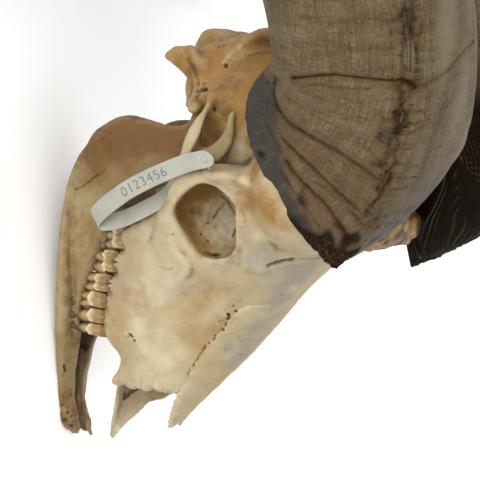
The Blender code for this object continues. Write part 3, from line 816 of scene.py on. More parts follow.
# what shows on the near side of the skull, by its place in the 480 by 480 picture: half width and depth in
# millimetres, how dark it is, and how ragged
faceGrooves = (
    # slit in the back of the eye socket: a brown gap, its darkness partly painted shadow under the rim
    (((222, 197), (227, 201), (231, 207), (234, 213)), 1.7, 0.6, 0.06, 0.3),
    (((236, 221), (235, 229), (233, 236)), 0.8, 0.6, 0.4, 0.2),
    (((224, 204), (219, 210), (214, 217)), 1.2, 0.5, 0.12, 0.3),
    (((209, 254), (213, 255), (218, 254)), 1.9, 3.0, 0.75, 0.2),  # tear duct
    (((268, 266), (276, 263), (285, 261), (293, 260)), 1.9, 1.4, 0.22, 0.3),  # slit in the brow
    (((275, 264), (280, 262), (285, 261)), 1.2, 1.0, 0.5, 0.4),
    (((290, 260), (304, 259), (320, 258)), 2.2, 0.6, 0.05, 0.2),
    (((130, 335), (131.5, 336.5)), 1.1, 2.2, 0.85, 0.3),  # hole of the cheek nerve
    (((129, 335), (128, 337)), 0.9, 0.9, 0.6, 0.3),
)
seamPits = (
    # between nose and cheek
    (((228, 314), (229, 317), (228, 319)), 1.1, 1.8, 0.9, 0.5),
    (((226, 323), (225, 325)), 0.9, 1.4, 0.8, 0.4),
    (((222, 329), (223, 330)), 1.0, 1.5, 0.9, 0.4),
    (((215, 338), (214, 340)), 0.9, 1.2, 0.8, 0.4),
    (((205, 346), (204, 348)), 0.9, 1.1, 0.8, 0.4),
    (((219, 322), (226, 318)), 0.7, 0.4, 0.3, 0.4),
    (((218, 333), (224, 327)), 0.7, 0.4, 0.3, 0.4),
)
rearGrooves = (
    (((203, 90), (206.5, 89.5)), 1.3, 3.2, 0.8, 0.4),  # ear hole
    (((197, 91), (202, 90)), 1.6, 0.9, 0.2, 0.4),
    (((214, 109), (215, 111)), 1.1, 2.0, 0.6, 0.3),
    (((188, 60), (196, 74), (198, 84)), 3.2, 0.8, 0.04, 0.3),
    (((204, 84), (196, 98)), 2.4, 0.8, 0.08, 0.3),
    (((187, 375), (190, 370), (196, 361), (203, 350)), 0.6, 0.7, 0.5, 0.6),  # open seam beside the nose
)
craniumHoles = (
    # place, radius, depth, darkness
    ((208, 223), 0.8, 0.8, 0.7), ((201, 234), 0.8, 0.8, 0.7), ((208, 241), 0.8, 0.8, 0.65),
    ((236, 268), 0.9, 1.0, 0.9), ((134, 341), 1.1, 1.0, 0.9), ((131, 349), 0.9, 0.8, 0.8),
    ((236, 311), 1.0, 1.4, 1.1), ((233, 306), 0.7, 0.6, 0.6), ((213, 299), 0.8, 0.7, 0.5),
    ((226, 66), 1.4, 2.0, 1.0), ((219, 47), 0.9, 1.0, 0.9), ((224, 46), 0.9, 1.0, 0.9),
    ((173, 234), 1.1, 0.5, 0.4), ((281, 295), 0.7, 0.5, 0.6), ((216, 335), 0.7, 0.7, 0.8),
    ((209, 343), 0.8, 0.8, 0.8), ((200, 353), 0.7, 0.6, 0.7), ((241, 300), 0.6, 0.5, 0.5),
    ((159, 330), 0.6, 0.4, 0.3),
)
craniumTints = (
    # tint, places, radius, amount
    ("ochre", ((205, 188), (214, 194), (190, 196)), 8, 0.6),
    ("pale", ((206, 212), (214, 232), (222, 218)), 14, 0.5),
    ("ochre", ((212, 122), (215, 132), (213, 142)), 9, 1.0),
    ("stainAndShade", ((212, 125), (215, 138)), 8, 0.36),
    ("ochre", ((200, 253), (215, 256), (235, 250)), 6, 0.75),
    ("pale", ((228, 240), (228, 222)), 8, 0.35),
    ("pale", ((245, 150), (244, 165), (246, 182)), 6, 0.35),
    ("ochre", ((250, 188), (262, 205), (272, 222)), 19, 0.62),
    ("stainAndShade", ((266, 190), (270, 205), (276, 218)), 6, 0.16),
    ("ochre", ((255, 140), (262, 170)), 9, 0.5),
    ("ochre", ((242, 215), (252, 235)), 16, 0.42),
    ("grey", ((248, 244), (258, 250), (252, 236)), 13, 0.5),
    ("grey", ((216, 264), (226, 267), (236, 262)), 8, 0.6),
    ("grey", ((262, 262), (290, 272), (310, 262)), 15, 0.7),
    # grey along the ridge of the nose: partly weathering, partly painted shade where the nose turns from the
    # light
    ("grey", ((300, 275), (280, 300), (255, 330), (235, 355)), 16, 0.75),
    ("grey", ((235, 290), (270, 285)), 12, 0.4),
    ("pale", ((150, 250), (165, 262), (150, 320), (170, 350)), 22, 0.45),
    ("pale", ((140, 340), (150, 370), (165, 380)), 18, 0.4),
    ("grey", ((120, 262), (118, 280), (116, 305)), 8, 0.4),
    ("grey", ((160, 292), (176, 296), (190, 290)), 9, 0.5),
    ("ochre", ((122, 290), (132, 296), (144, 298)), 8, 0.3),
    ("ochre", ((236, 306), (226, 318), (214, 334)), 9, 0.3),
    ("ochre", ((200, 320), (190, 345)), 14, 0.22),
    ("ochre", ((190, 300), (215, 290)), 14, 0.2),
    ("ochre", ((150, 215), (165, 208)), 9, 0.4),
    ("ochre", ((216, 60), (235, 60), (250, 50), (262, 60)), 16, 1.0),
    ("ochre", ((240, 80), (262, 85), (240, 105)), 18, 1.1),
    ("ochre", ((205, 70), (215, 90)), 13, 0.8),
    ("stainAndShade", ((215, 88), (222, 98), (224, 110)), 9, 0.24),
    ("ochre", ((184, 60), (175, 52), (200, 45)), 12, 0.55),
    ("stainAndShade", ((186, 68), (192, 80), (196, 100)), 8, 0.25),
    ("pale", ((222, 62), (240, 46)), 2, 0.35),
    ("pale", ((205, 108), (197, 128), (186, 150)), 6, 0.12),
    # dark patch at the crown behind the horn base: partly brown, partly painted shade under the horn
    ("stainAndShade", ((250, 20), (258, 14)), 8, 0.7),
    ("ochre", ((365, 225), (390, 240), (405, 222)), 20, 0.9),
)
craniumEased = (
    # a line in the skull's frame, reach and rounds of smoothing: the joins of face, arch, brow and nape
    (((40, -8, 22), (47, -16, 40), (52, -30, 40)), 24, 24),
    (((42, 12, 46), (50, -6, 48), (53, -10, 60)), 24, 20),
    (((46, -2, 30), (50, -16, 42), (53, -22, 54)), 14, 26),
    (((40, 4, 100), (48, -12, 98), (50, -20, 104)), 20, 20),
    (((53, -60, 106), (51, -74, 106), (47, -88, 108)), 18, 22),
    (((59, -73, 86), (56.5, -71, 95), (53, -66, 105)), 11, 90),
    (((57, -68, 98), (55, -62, 106), (52, -54, 111)), 13, 40),
    (((44, 12, 40), (46, 6, 40), (48, 0, 44)), 16, 30), (((30, -156, 72), (20, -160, 84)), 12, 8),
    (((38, -136, 74), (36, -124, 90), (36, -110, 96)), 22, 24), (((34, -130, 52), (36, -120, 56)), 10, 4),
    (((33, -100, 62), (34, -88, 70)), 16, 10),
)
craniumSwells = (
    # place, reach, amount: the smooth swellings and hollows of the face and brow
    ((150, 262), 26, 1.6), ((168, 250), 16, 1.2), ((155, 325), 26, -1.6), ((205, 290), 24, -1.8),
    ((240, 266), 14, -1.6), ((262, 235), 22, 1.2), ((120, 360), 14, -1.2), ((178, 298), 14, -1.4),
    ((136, 294), 10, 1.2), ((250, 170), 12, 0.8), ((214, 300), 14, -0.8), ((250, 80), 20, -1.5),
)
cheekLedge = (
    (172, 222), (174, 240), (180, 253), (188, 260), (191, 267), (189, 273), (183, 279), (176, 284))
craniumSeams = (
    # in the skull's frame: between the brow bones, across the crown, round the nape, in the palate
    ((0, 12, 122), (0, -20, 152), (0, -50, 186), (0, -80, 172)),
    ((-44, -104, 118), (-20, -112, 140), (0, -116, 136), (20, -112, 140), (44, -104, 118)),
    ((-40, -150, 88), (-22, -158, 104), (0, -160, 108), (22, -158, 104), (40, -150, 88)),
    ((0, 80, -6), (0, 30, 0), (0, -20, 12)), ((-24, 6, 0), (0, 10, 2), (24, 6, 0)),
)


def markUpper(clay, tree, grooves):
    # grooves, holes and patches of colour that the cranium and the nasal bones share
    for pixels, width, depth, dark, ragged in grooves:
        for line in marks(tree, pixels):
            carve(clay, wiggled(line, 0.5), width, depth, dark, ragged)
    for pixel, radius, depth, dark in craniumHoles:
        for line in marks(tree, [pixel]):
            carve(clay, line, radius, depth, dark)
    for tint, pixels, radius, amount in craniumTints:
        for line in marks(tree, pixels):
            tintAt(clay, tint, line, radius, amount)


def detailCranium(obj, tree):
    clay = openClay(obj)
    for side in (-1, 1):
        for line, reach, rounds in craniumEased:
            easeNear(clay, [(side * x, r, z) for x, r, z in line], reach, rounds)
    refreshNormals(clay)
    for pixel, reach, amount in craniumSwells:
        for line in marks(tree, [pixel]):
            pushNear(clay, line, reach, amount)
    ledge(clay, cheekLedge, 2.2, 34, 2.2)
    refreshNormals(clay)
    markUpper(clay, tree, faceGrooves + seamPits + rearGrooves)
    for points in craniumSeams:
        carve(clay, wiggled(snapped(tree, points), 2.0, 1.4), 0.8, 0.4, 0.3, 0.6)
    speckles = np.random.default_rng(11).integers(0, len(clay["place"]), 50)
    for k, index in enumerate(speckles):  # small feeding holes and dents all over
        size = 0.7 + 0.3 * ((k * 7919) % 100) / 100
        carve(clay, [clay["place"][index].copy()], size, 0.22, 0.05 + 0.15 * ((k * 31) % 10) / 10)
    front = held((clay["place"][:, 1] - 76) / 8)  # the broken front edge of the cheek bones
    sideOn = clay["place"][:, [0, 2]].tolist()
    jag = np.array([noise.noise(Vector((x * 0.12, z * 0.17, 3.0))) for x, z in sideOn])
    jag += 0.5 * np.array([noise.noise(Vector((x * 0.3, z * 0.5, 8.0))) for x, z in sideOn])
    clay["place"][:, 1] += front * 3.4 * jag
    roughLump = grain(clay, 14, 3.0) * 0.45 + grain(clay, 6, 9.0) * 0.22
    clay["place"] += clay["normal"] * (roughLump + grain(clay, 2.6, 5.0) * 0.10)[:, None]
    refreshNormals(clay)
    # darker in fine creases and broad hollows, more at the back of the head: partly dirt, partly painted shade
    fine, wide = sunken(clay, 5), sunken(clay, 26)
    dirtAndShadeGain = np.where(clay["place"][:, 1] > -60, 1.3, 2.2)
    clay["stainAndShade"] += np.clip(fine * dirtAndShadeGain, 0, 0.4) + np.clip((wide - 0.5) * 0.16, 0, 0.35)
    clay["pale"] += np.clip(-fine * 1.6, 0, 0.3)
    socket = skull["orbit"]
    r, z = clay["place"][:, 1] - socket["r"], clay["place"][:, 2] - socket["z"]
    deep = socket["x"] - 0.16 * r - 0.18 * z - np.abs(clay["place"][:, 0])
    wall = held((deep - 2.5) / 5) * held(1.6 - deep / 26) * (np.hypot(r / 27, z / 25) < 1.05)
    # the lower wall inside the eye socket is painted brown and darker: partly its own brown, partly painted
    # shade
    wall *= held(0.3 - z / 24 - 0.3 * r / 24)  # the lower wall inside the eye socket is brown
    clay["ochre"] += 0.9 * wall
    clay["stainAndShade"] += 0.3 * wall
    # the bone between the horns is rough and painted darker: partly its brown, partly painted shade between
    # the horns
    saddle = held((clay["place"][:, 2] - 156) / 12)  # rough brown bone between the horns
    rough = saddle * (2.2 * grain(clay, 10, 6.0) + 1.5 * grain(clay, 4.5, 2.0))
    clay["place"] += clay["normal"] * rough[:, None]
    clay["grey"] *= 1 - saddle
    clay["ochre"] += 0.4 * saddle
    clay["stainAndShade"] += saddle * np.clip(0.34 + 1.3 * grain(clay, 7, 3.0), 0, 0.8)
    behind = held((-clay["place"][:, 1] - 66) / 50)  # the back of the head is the most stained
    clay["ochre"] += 0.62 * behind + 0.12 * held(grain(clay, 22, 1.5) * 2.5)
    below = held((30 - clay["place"][:, 2]) / 40)
    clay["ochre"] += 0.3 * below
    closeClay(clay)


def treeOf(*objects):
    points, faces = [], []
    for obj in objects:
        start = len(points)
        points += [v.co.copy() for v in obj.data.vertices]
        faces += [tuple(start + k for k in p.vertices) for p in obj.data.polygons]
    return BVHTree.FromPolygons(points, faces)


craniumShell = buildCranium(skull)
print("cranium blocked out", len(craniumShell.data.vertices))

# nasal bones: two arched strips, seamed to the cheek bones and ending in free points
nasal = {
    "voxel": 0.95, "halfSeam": 0.3,
    # r, crown z, outer edge x and z, thickness
    "stations": (
        (8, 121.6, 18, 108, 3), (14, 119.9, 26, 98, 3), (20, 115.8, 29, 89.4, 4),
        (30, 108, 27.6, 80.6, 4.5), (40, 100.5, 24.6, 72.8, 4.5), (50, 92.2, 22.2, 64.6, 4.3),
        (60, 83.5, 20, 57.4, 4), (76, 68.5, 16.6, 47.6, 3.4), (88, 57.5, 14.6, 41.2, 3),
        (95, 51, 13.2, 38.6, 2.6), (101, 45.6, 11.6, 36.6, 2.3), (106, 41, 10, 35, 2),
        (110.5, 37.2, 8.6, 33.6, 1.7),
    ),
    "furrows": {
        "places": (24, 36, 50, 66), "startX": {24: 24, 66: 15}, "startZ": {24: 95, 66: 69},
        "endZ": {24: 100, 66: 66},
    },
}


def buildNasal(side, values):
    rings = []
    stations = values["stations"]
    steps, across = 66, 16
    for k in range(steps + 1):
        r, crown, outerX, outerZ, thick = between(stations, (len(stations) - 1) * k / steps)
        outside, inside = [], []
        for j in range(across + 1):
            a = j / across
            x = values["halfSeam"] + (outerX - values["halfSeam"]) * math.sin(a * math.pi / 2) ** 1.05
            z = outerZ + (crown - outerZ) * (0.35 * (1 - a) + 0.65 * math.cos(a * math.pi / 2) ** 1.1)
            if r > 103:  # the free tips part from each other
                x += 5.5 * (r - 103) / 7 * (1 - a)
            wave = 0.8 * noise.noise(Vector((r * 0.5, side * 4.0, a * 2)))
            edge = math.sin(min(1, (1 - a) * 4) * math.pi / 2)
            flush = min(1, max(0, (r - 12) / 14))
            outside.append(at(side * (x - 0.5 * (1 - edge)), r + wave, z + (0.5 * edge - 0.3) * flush))
            inner = max(values["halfSeam"], x - thick * 0.35 * a)
            inside.append(at(side * inner, r + wave, z - thick * (0.35 + 0.65 * edge)))
        rings.append(outside + inside[::-1])
    bone = skinOver("nasal" + ("Left" if side > 0 else "Right"), rings)
    fuse(bone, values["voxel"], 3)
    return bone


def detailNasal(obj, side, tree):
    clay = openClay(obj)
    markUpper(clay, tree, seamPits)
    furrows = nasal["furrows"]
    for r in furrows["places"]:  # vessel furrows that slant over the side of the bone
        start = (side * readOff(furrows["startX"], r), r, readOff(furrows["startZ"], r))
        line = snapped(tree, [start, (side * 12, r + 14, readOff(furrows["endZ"], r))])
        carve(clay, wiggled(line, 1.2), 1.1, 0.2, 0.03, 0.4)
    clay["place"] += clay["normal"] * (grain(clay, 9, 2.0) * 0.45 + grain(clay, 2.4, 7.0) * 0.12)[:, None]
    refreshNormals(clay)
    # darker in creases: partly dirt, partly painted shade
    clay["stainAndShade"] += np.clip(sunken(clay, 5) * 2.4, 0, 0.5)
    clay["pale"] += np.clip(-sunken(clay, 5) * 2.2, 0, 0.5)
    # the front of the nasal bones is greyer: partly weathering, partly painted shade where the nose turns from
    # the light
    lower = held((clay["place"][:, 1] - 20) / 60)
    clay["grey"] += lower * (0.3 + 0.2 * grain(clay, 12, 4.0))
    clay["ochre"] += 0.15 * lower * held(grain(clay, 16, 6.0) * 2)
    closeClay(clay)


nasals = {side: buildNasal(side, nasal) for side in (-1, 1)}
upperTree = treeOf(craniumShell, *nasals.values())
detailCranium(craniumShell, upperTree)
for side, bone in nasals.items():
    detailNasal(bone, side, upperTree)
print(
    "cranium and nasal bones detailed", thinTo(craniumShell, skull["triangles"]),
    "triangles before thinning")
settle(craniumShell, "bone", craniumBone, "cranium")
settle(nasals[-1], "bone", craniumBone, "nasal_right")
settle(nasals[1], "bone", craniumBone, "nasal_left")

# the one premaxilla that is left, on the far side: a thin wall and its share of the palate
premaxilla = {
    "voxel": 0.8,
    "wall": (
        # x, r, z, half width, half height
        (18.8, 74, 8.5, 1.5, 25), (18.8, 83, 2.5, 1.4, 20), (18.2, 92.3, -3.7, 1.3, 13.2),
        (16.2, 103, -8.1, 1.2, 9), (14, 111.2, -11.8, 1.3, 5.8), (11.5, 120.6, -15.6, 1.4, 2.7),
        (10, 126.5, -18, 1.2, 1.2),
    ),
    "floor": (
        (11, 84, -12, 7, 1.4), (10.6, 92, -14, 6.5, 1.4), (10, 104, -15.6, 5.2, 1.4),
        (9.4, 115, -17, 4, 1.4), (8.8, 125, -18, 2, 1.3),
    ),
    "grooves": (
        # places, half width, depth, darkness
        (((124, 397), (131, 391), (138, 387)), 2.2, 1.2, 0.5),
        (((128, 420), (140, 408), (152, 398)), 1.4, 0.3, 0.02),
        (((118, 428), (124, 414), (128, 404)), 1.2, 0.3, 0.02),
    ),
    "tints": (
        ("ochre", ((140, 408), (160, 398)), 14, 0.3), ("stainAndShade", ((150, 392), (165, 392)), 9, 0.15),
        ("pale", ((116, 432), (114, 412), (116, 398)), 5, 0.7),
    ),
}


def buildPremaxilla(values):
    bone = joined("premaxillaLeft", [addBar(values["wall"], sides=28), addBar(values["floor"], sides=24)])
    fuse(bone, values["voxel"], 4)
    clay = openClay(bone)
    tree = treeOf(bone)
    for pixels, width, depth, dark in values["grooves"]:
        carve(clay, wiggled(marks(tree, pixels, False)[0], 0.6), width, depth, dark, 0.3)
    for tint, pixels, radius, amount in values["tints"]:
        tintAt(clay, tint, marks(tree, pixels, False)[0], radius, amount)
    clay["place"] += clay["normal"] * (grain(clay, 7, 3.0) * 0.4 + grain(clay, 2.2, 8.0) * 0.12)[:, None]
    # darker in creases: partly dirt, partly painted shade
    clay["stainAndShade"] += np.clip(sunken(clay, 5) * 1.2, 0, 0.2)
    clay["ochre"] += 0.08
    closeClay(clay)
    return bone


settle(buildPremaxilla(premaxilla), "bone", craniumBone, "premaxilla_left")
print("premaxilla ready")

# lower jaw: each half an outlined plate, rounded over and set out sideways along its length
jaw = {
    "voxel": 1.1,
    "outline": (
        (123.5, -44.5), (117, -49.5), (106, -51.5), (80, -52.2), (58, -53.8), (36, -51.4), (0, -49.6),
        (-35, -45.8), (-54, -42), (-70, -36.4), (-83, -27.6), (-93, -19.4), (-100, -11), (-104, -2),
        (-105.2, 9), (-103.2, 22), (-100, 36), (-101.5, 50), (-110, 53.5), (-118, 57), (-116, 62.5),
        (-106, 61.5), (-96, 59.5), (-86, 61), (-89, 68), (-95, 74), (-102, 78.6), (-110, 79.5),
        (-115.5, 85), (-108, 84.5), (-98, 83.8), (-90, 82.3), (-83, 78.5), (-77, 72), (-69, 58), (-60, 34),
        (-50, 10), (-38, -5), (-14, -13.4), (4, -23), (26, -30.6), (50, -34), (54, -37.4), (62, -39.6),
        (86, -42.6), (100, -44.6), (110, -41.5), (120, -35.5), (124.5, -38),
    ),
    "sideways": {
        -120: 47, -100: 43, -60: 39, -35: 35.5, 0: 30.5, 36: 25, 50: 20, 58: 15, 70: 12, 80: 10.8,
        100: 10.4, 128: 8,
    },
    "lean": {40: 0, 58: 3.2, 80: 1.8, 100: 1, 128: 0},
    "thickness": {-120: 5, -104: 4.5, -80: 5, -60: 8, -35: 12, 0: 12.5, 50: 11, 80: 9.5, 104: 12, 128: 10},
    "bars": (
        ((38, -112, 57, 4, 4), (46, -114, 57.5, 5, 4.5), (55, -112, 58, 2.6, 3.6)),
        ((6.5, 96, -47, 3.5, 4), (7, 110, -44.5, 6, 5.5), (8, 119, -40, 6.5, 3.8),
         (7.5, 124, -37.5, 4.5, 2)),
        ((39, -70, -31, 3, 4), (41.5, -90, -17, 3.5, 5), (42.5, -99, 2, 3, 5)),
        ((7.8, 68, -47, 3, 3.5), (7, 84, -46, 3, 3.5), (6.4, 98, -45.5, 3, 3.5)),
    ),
    # by place in the picture: swellings and hollows, grooves, holes and patches of colour
    "swells": (
        ((105, 150), 22, -2.2), ((140, 150), 20, -1.8), ((80, 200), 16, 1.0), ((75, 260), 18, 0.8),
        ((66, 380), 12, -0.6), ((95, 140), 10, 0.8),
    ),
    "grooves": (
        (((76, 189), (84, 186), (96, 176), (106, 169), (116, 164)), 1.0, 0.4, 0.3, 0.6),
        (((64, 366), (65, 371)), 1.1, 1.3, 0.7, 0.3), (((63, 395), (64, 405)), 0.8, 0.5, 0.3, 0.4),
        (((82, 330), (79, 345), (78, 370), (77, 400)), 1.2, 0.4, 0.3, 0.3),
    ),
    "holes": (
        ((62, 405), 1.0, 0.8, 0.7), ((68, 412), 1.1, 0.9, 0.7), ((64, 420), 1.3, 1.0, 0.7),
        ((72, 426), 1.2, 1.0, 0.8), ((61, 414), 0.9, 0.8, 0.6), ((70, 433), 1.2, 1.0, 0.8),
        ((76, 420), 1.0, 0.8, 0.7), ((66, 398), 0.8, 0.6, 0.5),
    ),
    "tints": (
        ("ochre", ((110, 128), (140, 126), (165, 130), (190, 135)), 22, 0.7),
        ("stainAndShade", ((135, 117), (160, 118)), 5, 0.4), ("ochre", ((104, 140), (92, 160)), 20, 0.5),
        ("pale", ((70, 200), (64, 260), (62, 320)), 12, 0.5), ("pale", ((85, 200), (80, 250)), 10, 0.4),
        ("stainAndShade", ((95, 120), (86, 140), (76, 165)), 5, 0.3), ("ochre", ((64, 400), (70, 425)), 12, 0.6),
        ("pale", ((225, 138), (231, 122), (213, 150)), 9, 1.1), ("pale", ((189, 104), (191, 108)), 5, 0.8),
        ("ochre", ((78, 300), (74, 340)), 8, 0.4), ("stainAndShade", ((100, 240), (90, 275), (82, 325)), 4, 0.3),
    ),
}
lowerTeethSizes = ((8, 7), (10, 8), (12, 8), (14, 9), (17, 9), (21, 9))  # length, width, front to back
lowerGum = {-32: -6.5, -14: -13, 4: -22.6, 26: -30.2, 50: -33.4}


def roundedOutline(points, every):
    # the closed outline as a smooth line of points, as a spline of the third order draws it
    count = len(points)
    fine = []
    for k in range(count):
        a, b, c = points[k], points[(k + 1) % count], points[(k + 2) % count]
        start, end = [(p + q) / 2 for p, q in zip(a, b)], [(p + q) / 2 for p, q in zip(b, c)]
        for j in range(every):
            t = j / every
            fine.append(
                [(1 - t) ** 2 * s + 2 * t * (1 - t) * m + t * t * e for s, m, e in zip(start, b, end)])
    return fine


def buildJaw(side, values):
    outline = roundedOutline(values["outline"], 5)
    flat = bpy.data.curves.new("jawOutline", "CURVE")
    flat.dimensions, flat.fill_mode, flat.extrude = "2D", "BOTH", 0.5 * mm
    spline = flat.splines.new("POLY")
    spline.points.add(len(outline) - 1)
    for point, (r, z) in zip(spline.points, outline):
        point.co = (r * mm, z * mm, 0, 1)
    spline.use_cyclic_u = True
    plate = bpy.data.objects.new("jawPlate", flat)
    bpy.context.scene.collection.objects.link(plate)
    pick(plate)
    bpy.ops.object.convert(target="MESH")
    plate = bpy.context.object
    for vertex in plate.data.vertices:
        r, z, level = (value / mm for value in vertex.co)
        x = readOff(values["sideways"], r) + level * readOff(values["thickness"], r)
        vertex.co = at(side * x, r, z)
    bpy.ops.object.mode_set(mode="EDIT")
    bpy.ops.mesh.select_all(action="SELECT")
    bpy.ops.mesh.remove_doubles(threshold=0.00001)
    bpy.ops.mesh.normals_make_consistent(inside=False)
    bpy.ops.object.mode_set(mode="OBJECT")
    fuse(plate, 1.3, 1)
    clay = openClay(plate)
    rim = [(0, r, z) for r, z in outline + outline[:1]]
    place = clay["place"].copy()
    middle = readAlong(values["sideways"], place[:, 1])
    line = np.array(rim)[:, 1:]
    gap = np.full(len(place), 99.0)
    for start, end in zip(line[:-1], line[1:]):
        along = end - start
        share = held(((place[:, 1:] - start) @ along) / max(along @ along, 1e-9))
        gap = np.minimum(gap, np.linalg.norm(place[:, 1:] - start - share[:, None] * along, axis=1))
    half = 0.5 * readAlong(values["thickness"], place[:, 1])
    t = held(gap / np.maximum(half * 1.05, 1))
    rounded = 0.25 + 0.75 * np.sqrt(1 - (1 - t) ** 2)
    clay["place"][:, 0] = side * (middle + (side * place[:, 0] - middle) * rounded)
    lean = readAlong(values["lean"], place[:, 1])
    clay["place"][:, 0] -= side * lean * np.clip((place[:, 2] + 52) / 12, 0, 1.2)
    closeClay(clay)
    pieces = [plate] + [addBar([(side * row[0], *row[1:]) for row in rows]) for rows in values["bars"]]
    r = 50.0
    for length, width in lowerTeethSizes:
        middle = r - length / 2
        gum = readOff(lowerGum, middle)
        x = readOff(values["sideways"], middle) - 1.0
        pieces.append(addBar([
            (side * x, middle, gum - 7, width / 2 - 1.6, length / 2 - 0.4),
            (side * x, middle, gum - 1, width / 2, length / 2 - 0.6)]))
        r -= length
    bone = joined("mandible" + ("Left" if side > 0 else "Right"), pieces)
    fuse(bone, values["voxel"], 4)
    return bone


def detailJaw(obj, side, tree):
    clay = openClay(obj)

    def mine(pixels):
        # what is drawn over the picture lies on the right half; the left one gets it mirrored
        found = [seenAt(tree, *pixel) for pixel in pixels]
        return [Vector((p.x * -side, p.y, p.z)) for p in found]

    for pixel, reach, amount in jaw["swells"]:
        pushNear(clay, mine([pixel]), reach, amount)
    refreshNormals(clay)
    for pixels, width, depth, dark, ragged in jaw["grooves"]:
        carve(clay, wiggled(mine(pixels), 0.6), width, depth, dark, ragged)
    for pixel, radius, depth, dark in jaw["holes"]:
        carve(clay, mine([pixel]), radius, depth, dark)
    for tint, pixels, radius, amount in jaw["tints"]:
        tintAt(clay, tint, mine(pixels), radius, amount)
    up = held((-clay["place"][:, 1] - 30) / 60) * held((clay["place"][:, 2] + 42) / 40)
    clay["ochre"] += 0.55 * up
    inner = held((-side * (clay["normal"][:, 0])) * 1.5)  # the tongue side is darker and greasier
    clay["stainAndShade"] += inner * (0.34 + 0.22 * held((clay["place"][:, 1] - 40) / 12))
    clay["ochre"] += 0.45 * inner + 0.3 * held(grain(clay, 20, 2.5) * 2.5)
    front = held((clay["place"][:, 1] - 100) / 14)  # spongy bone at the chin, where teeth have gone
    clay["place"] += clay["normal"] * (np.clip(grain(clay, 2.6, 1.0), -0.2, 1) * -1.2 * front)[:, None]
    speckles = np.random.default_rng(23).integers(0, len(clay["place"]), 30)
    for k, index in enumerate(speckles):
        carve(clay, [clay["place"][index].copy()], 0.7 + 0.04 * (k % 8), 0.2, 0.03 * (k % 7))
    rough = grain(clay, 13, 3.0) * 0.5 + grain(clay, 5, 9.0) * 0.22 + grain(clay, 2.5, 5.0) * 0.1
    clay["place"] += clay["normal"] * rough[:, None]
    refreshNormals(clay)
    # darker in creases: partly dirt, partly painted shade
    clay["stainAndShade"] += np.clip(sunken(clay, 5) * 2.4, 0, 0.5)
    clay["pale"] += np.clip(-sunken(clay, 5) * 1.6, 0, 0.3)
    closeClay(clay)


jaws = {side: buildJaw(side, jaw) for side in (-1, 1)}
jawTree = treeOf(jaws[-1])
for side, bone in jaws.items():
    detailJaw(bone, side, jawTree)


def trimTo(obj, point, keep):
    # cut a piece along a plane and close the cut; keep is the side that stays
    pick(obj)
    bpy.ops.object.mode_set(mode="EDIT")
    bpy.ops.mesh.select_all(action="SELECT")
    bpy.ops.mesh.bisect(plane_co=point, plane_no=keep, use_fill=True, clear_inner=True)
    bpy.ops.object.mode_set(mode="OBJECT")


for side, bone in jaws.items():
    trimTo(bone, at(side * 0.2, 0, 0), (side, 0, 0))
    bone.data.transform(leanOver)
    trimTo(bone, (0, 0, 0), (0, 0, 1))
    bone.data.transform(leanOver.inverted())
    settle(bone, "jaw_bone", jawBone, "mandible_left" if side > 0 else "mandible_right")
print("lower jaw ready", len(jaws[-1].data.vertices))


def toothFinish():
    # enamel over dentine, grown and then worn: glossy ivory edges round duller brown dentine, tar-brown clefts
    material, shader = newMaterial("wornEnamelAndDentine", 0.42, 1.5)
    place = addNode(material, "TexCoord").outputs["Object"]
    read = readTones(material, tints)
    mottle = addNoise(material, 3.5, 5.0, 0.65, place)
    colour = twoTones(material, mottle, (0.35, "#8E7040"), (0.62, "#AD9566"))
    for tint, tone, low, high, most in (
            ("ochre", "#6E4A1E", 0.1, 1.1, 0.8), ("pale", "#CFC2A4", 0.25, 0.95, 0.8),
            ("stainAndShade", "#2A190B", 0.25, 1.0, 0.95)):
        amount = reckon(material, "ADD", reckon(material, "MULTIPLY_ADD", mottle, 0.4, -0.2), read[tint])
        colour = laid(material, colour, tone, amount, low, high, most)
    wire(material, shader, Base_Color=colour, Normal=bumped(material, mottle, 0.25, 0.2))
    return material


teeth = {
    "around": 96, "rootDepth": 9.0, "cusp": 2.7,
    "upper": {"gum": upperGum, "x": {-31: 33.5, 51: 25}, "first": 51.0},
    "lower": {"gum": lowerGum, "first": 50.0},
    "bite": {-32: 0.6, -14: -4.6, 4: -13, 26: -21.4, 50: -22.6},
}


def lobed(s, lobes, power):
    share = ((s + 1) / 2 * lobes) % 1.0
    return math.sin(math.pi * share) ** power


def toothOutline(values, length, width, lobes, upper):
    # points round the crown: the share of each along the row, and its place out from the row's middle
    count = values["around"]
    found = []
    for k in range(count):
        cheekSide = k < count // 2
        t = k / (count // 2) if cheekSide else 2 - k / (count // 2)
        s = -math.cos(math.pi * t)
        envelope = (1 - abs(s) ** 3.4) ** 0.5 if abs(s) < 1 else 0.0
        if cheekSide == upper:  # the ridged side: outside on upper teeth, inside on lower ones
            ridge = sum(math.exp(-((s - c) / 0.11) ** 2) for c in np.linspace(-0.86, 0.86, lobes + 1))
            ridge = min(1, ridge + 0.5 * lobed(s, lobes, 6))
            out = envelope * (0.7 + 0.3 * ridge)
        else:
            ridge = lobed(s, lobes, 0.75)
            out = envelope * (0.52 + 0.48 * ridge)
        found.append((s, (1 if cheekSide else -1) * out * width / 2, s * length / 2, ridge))
    return found


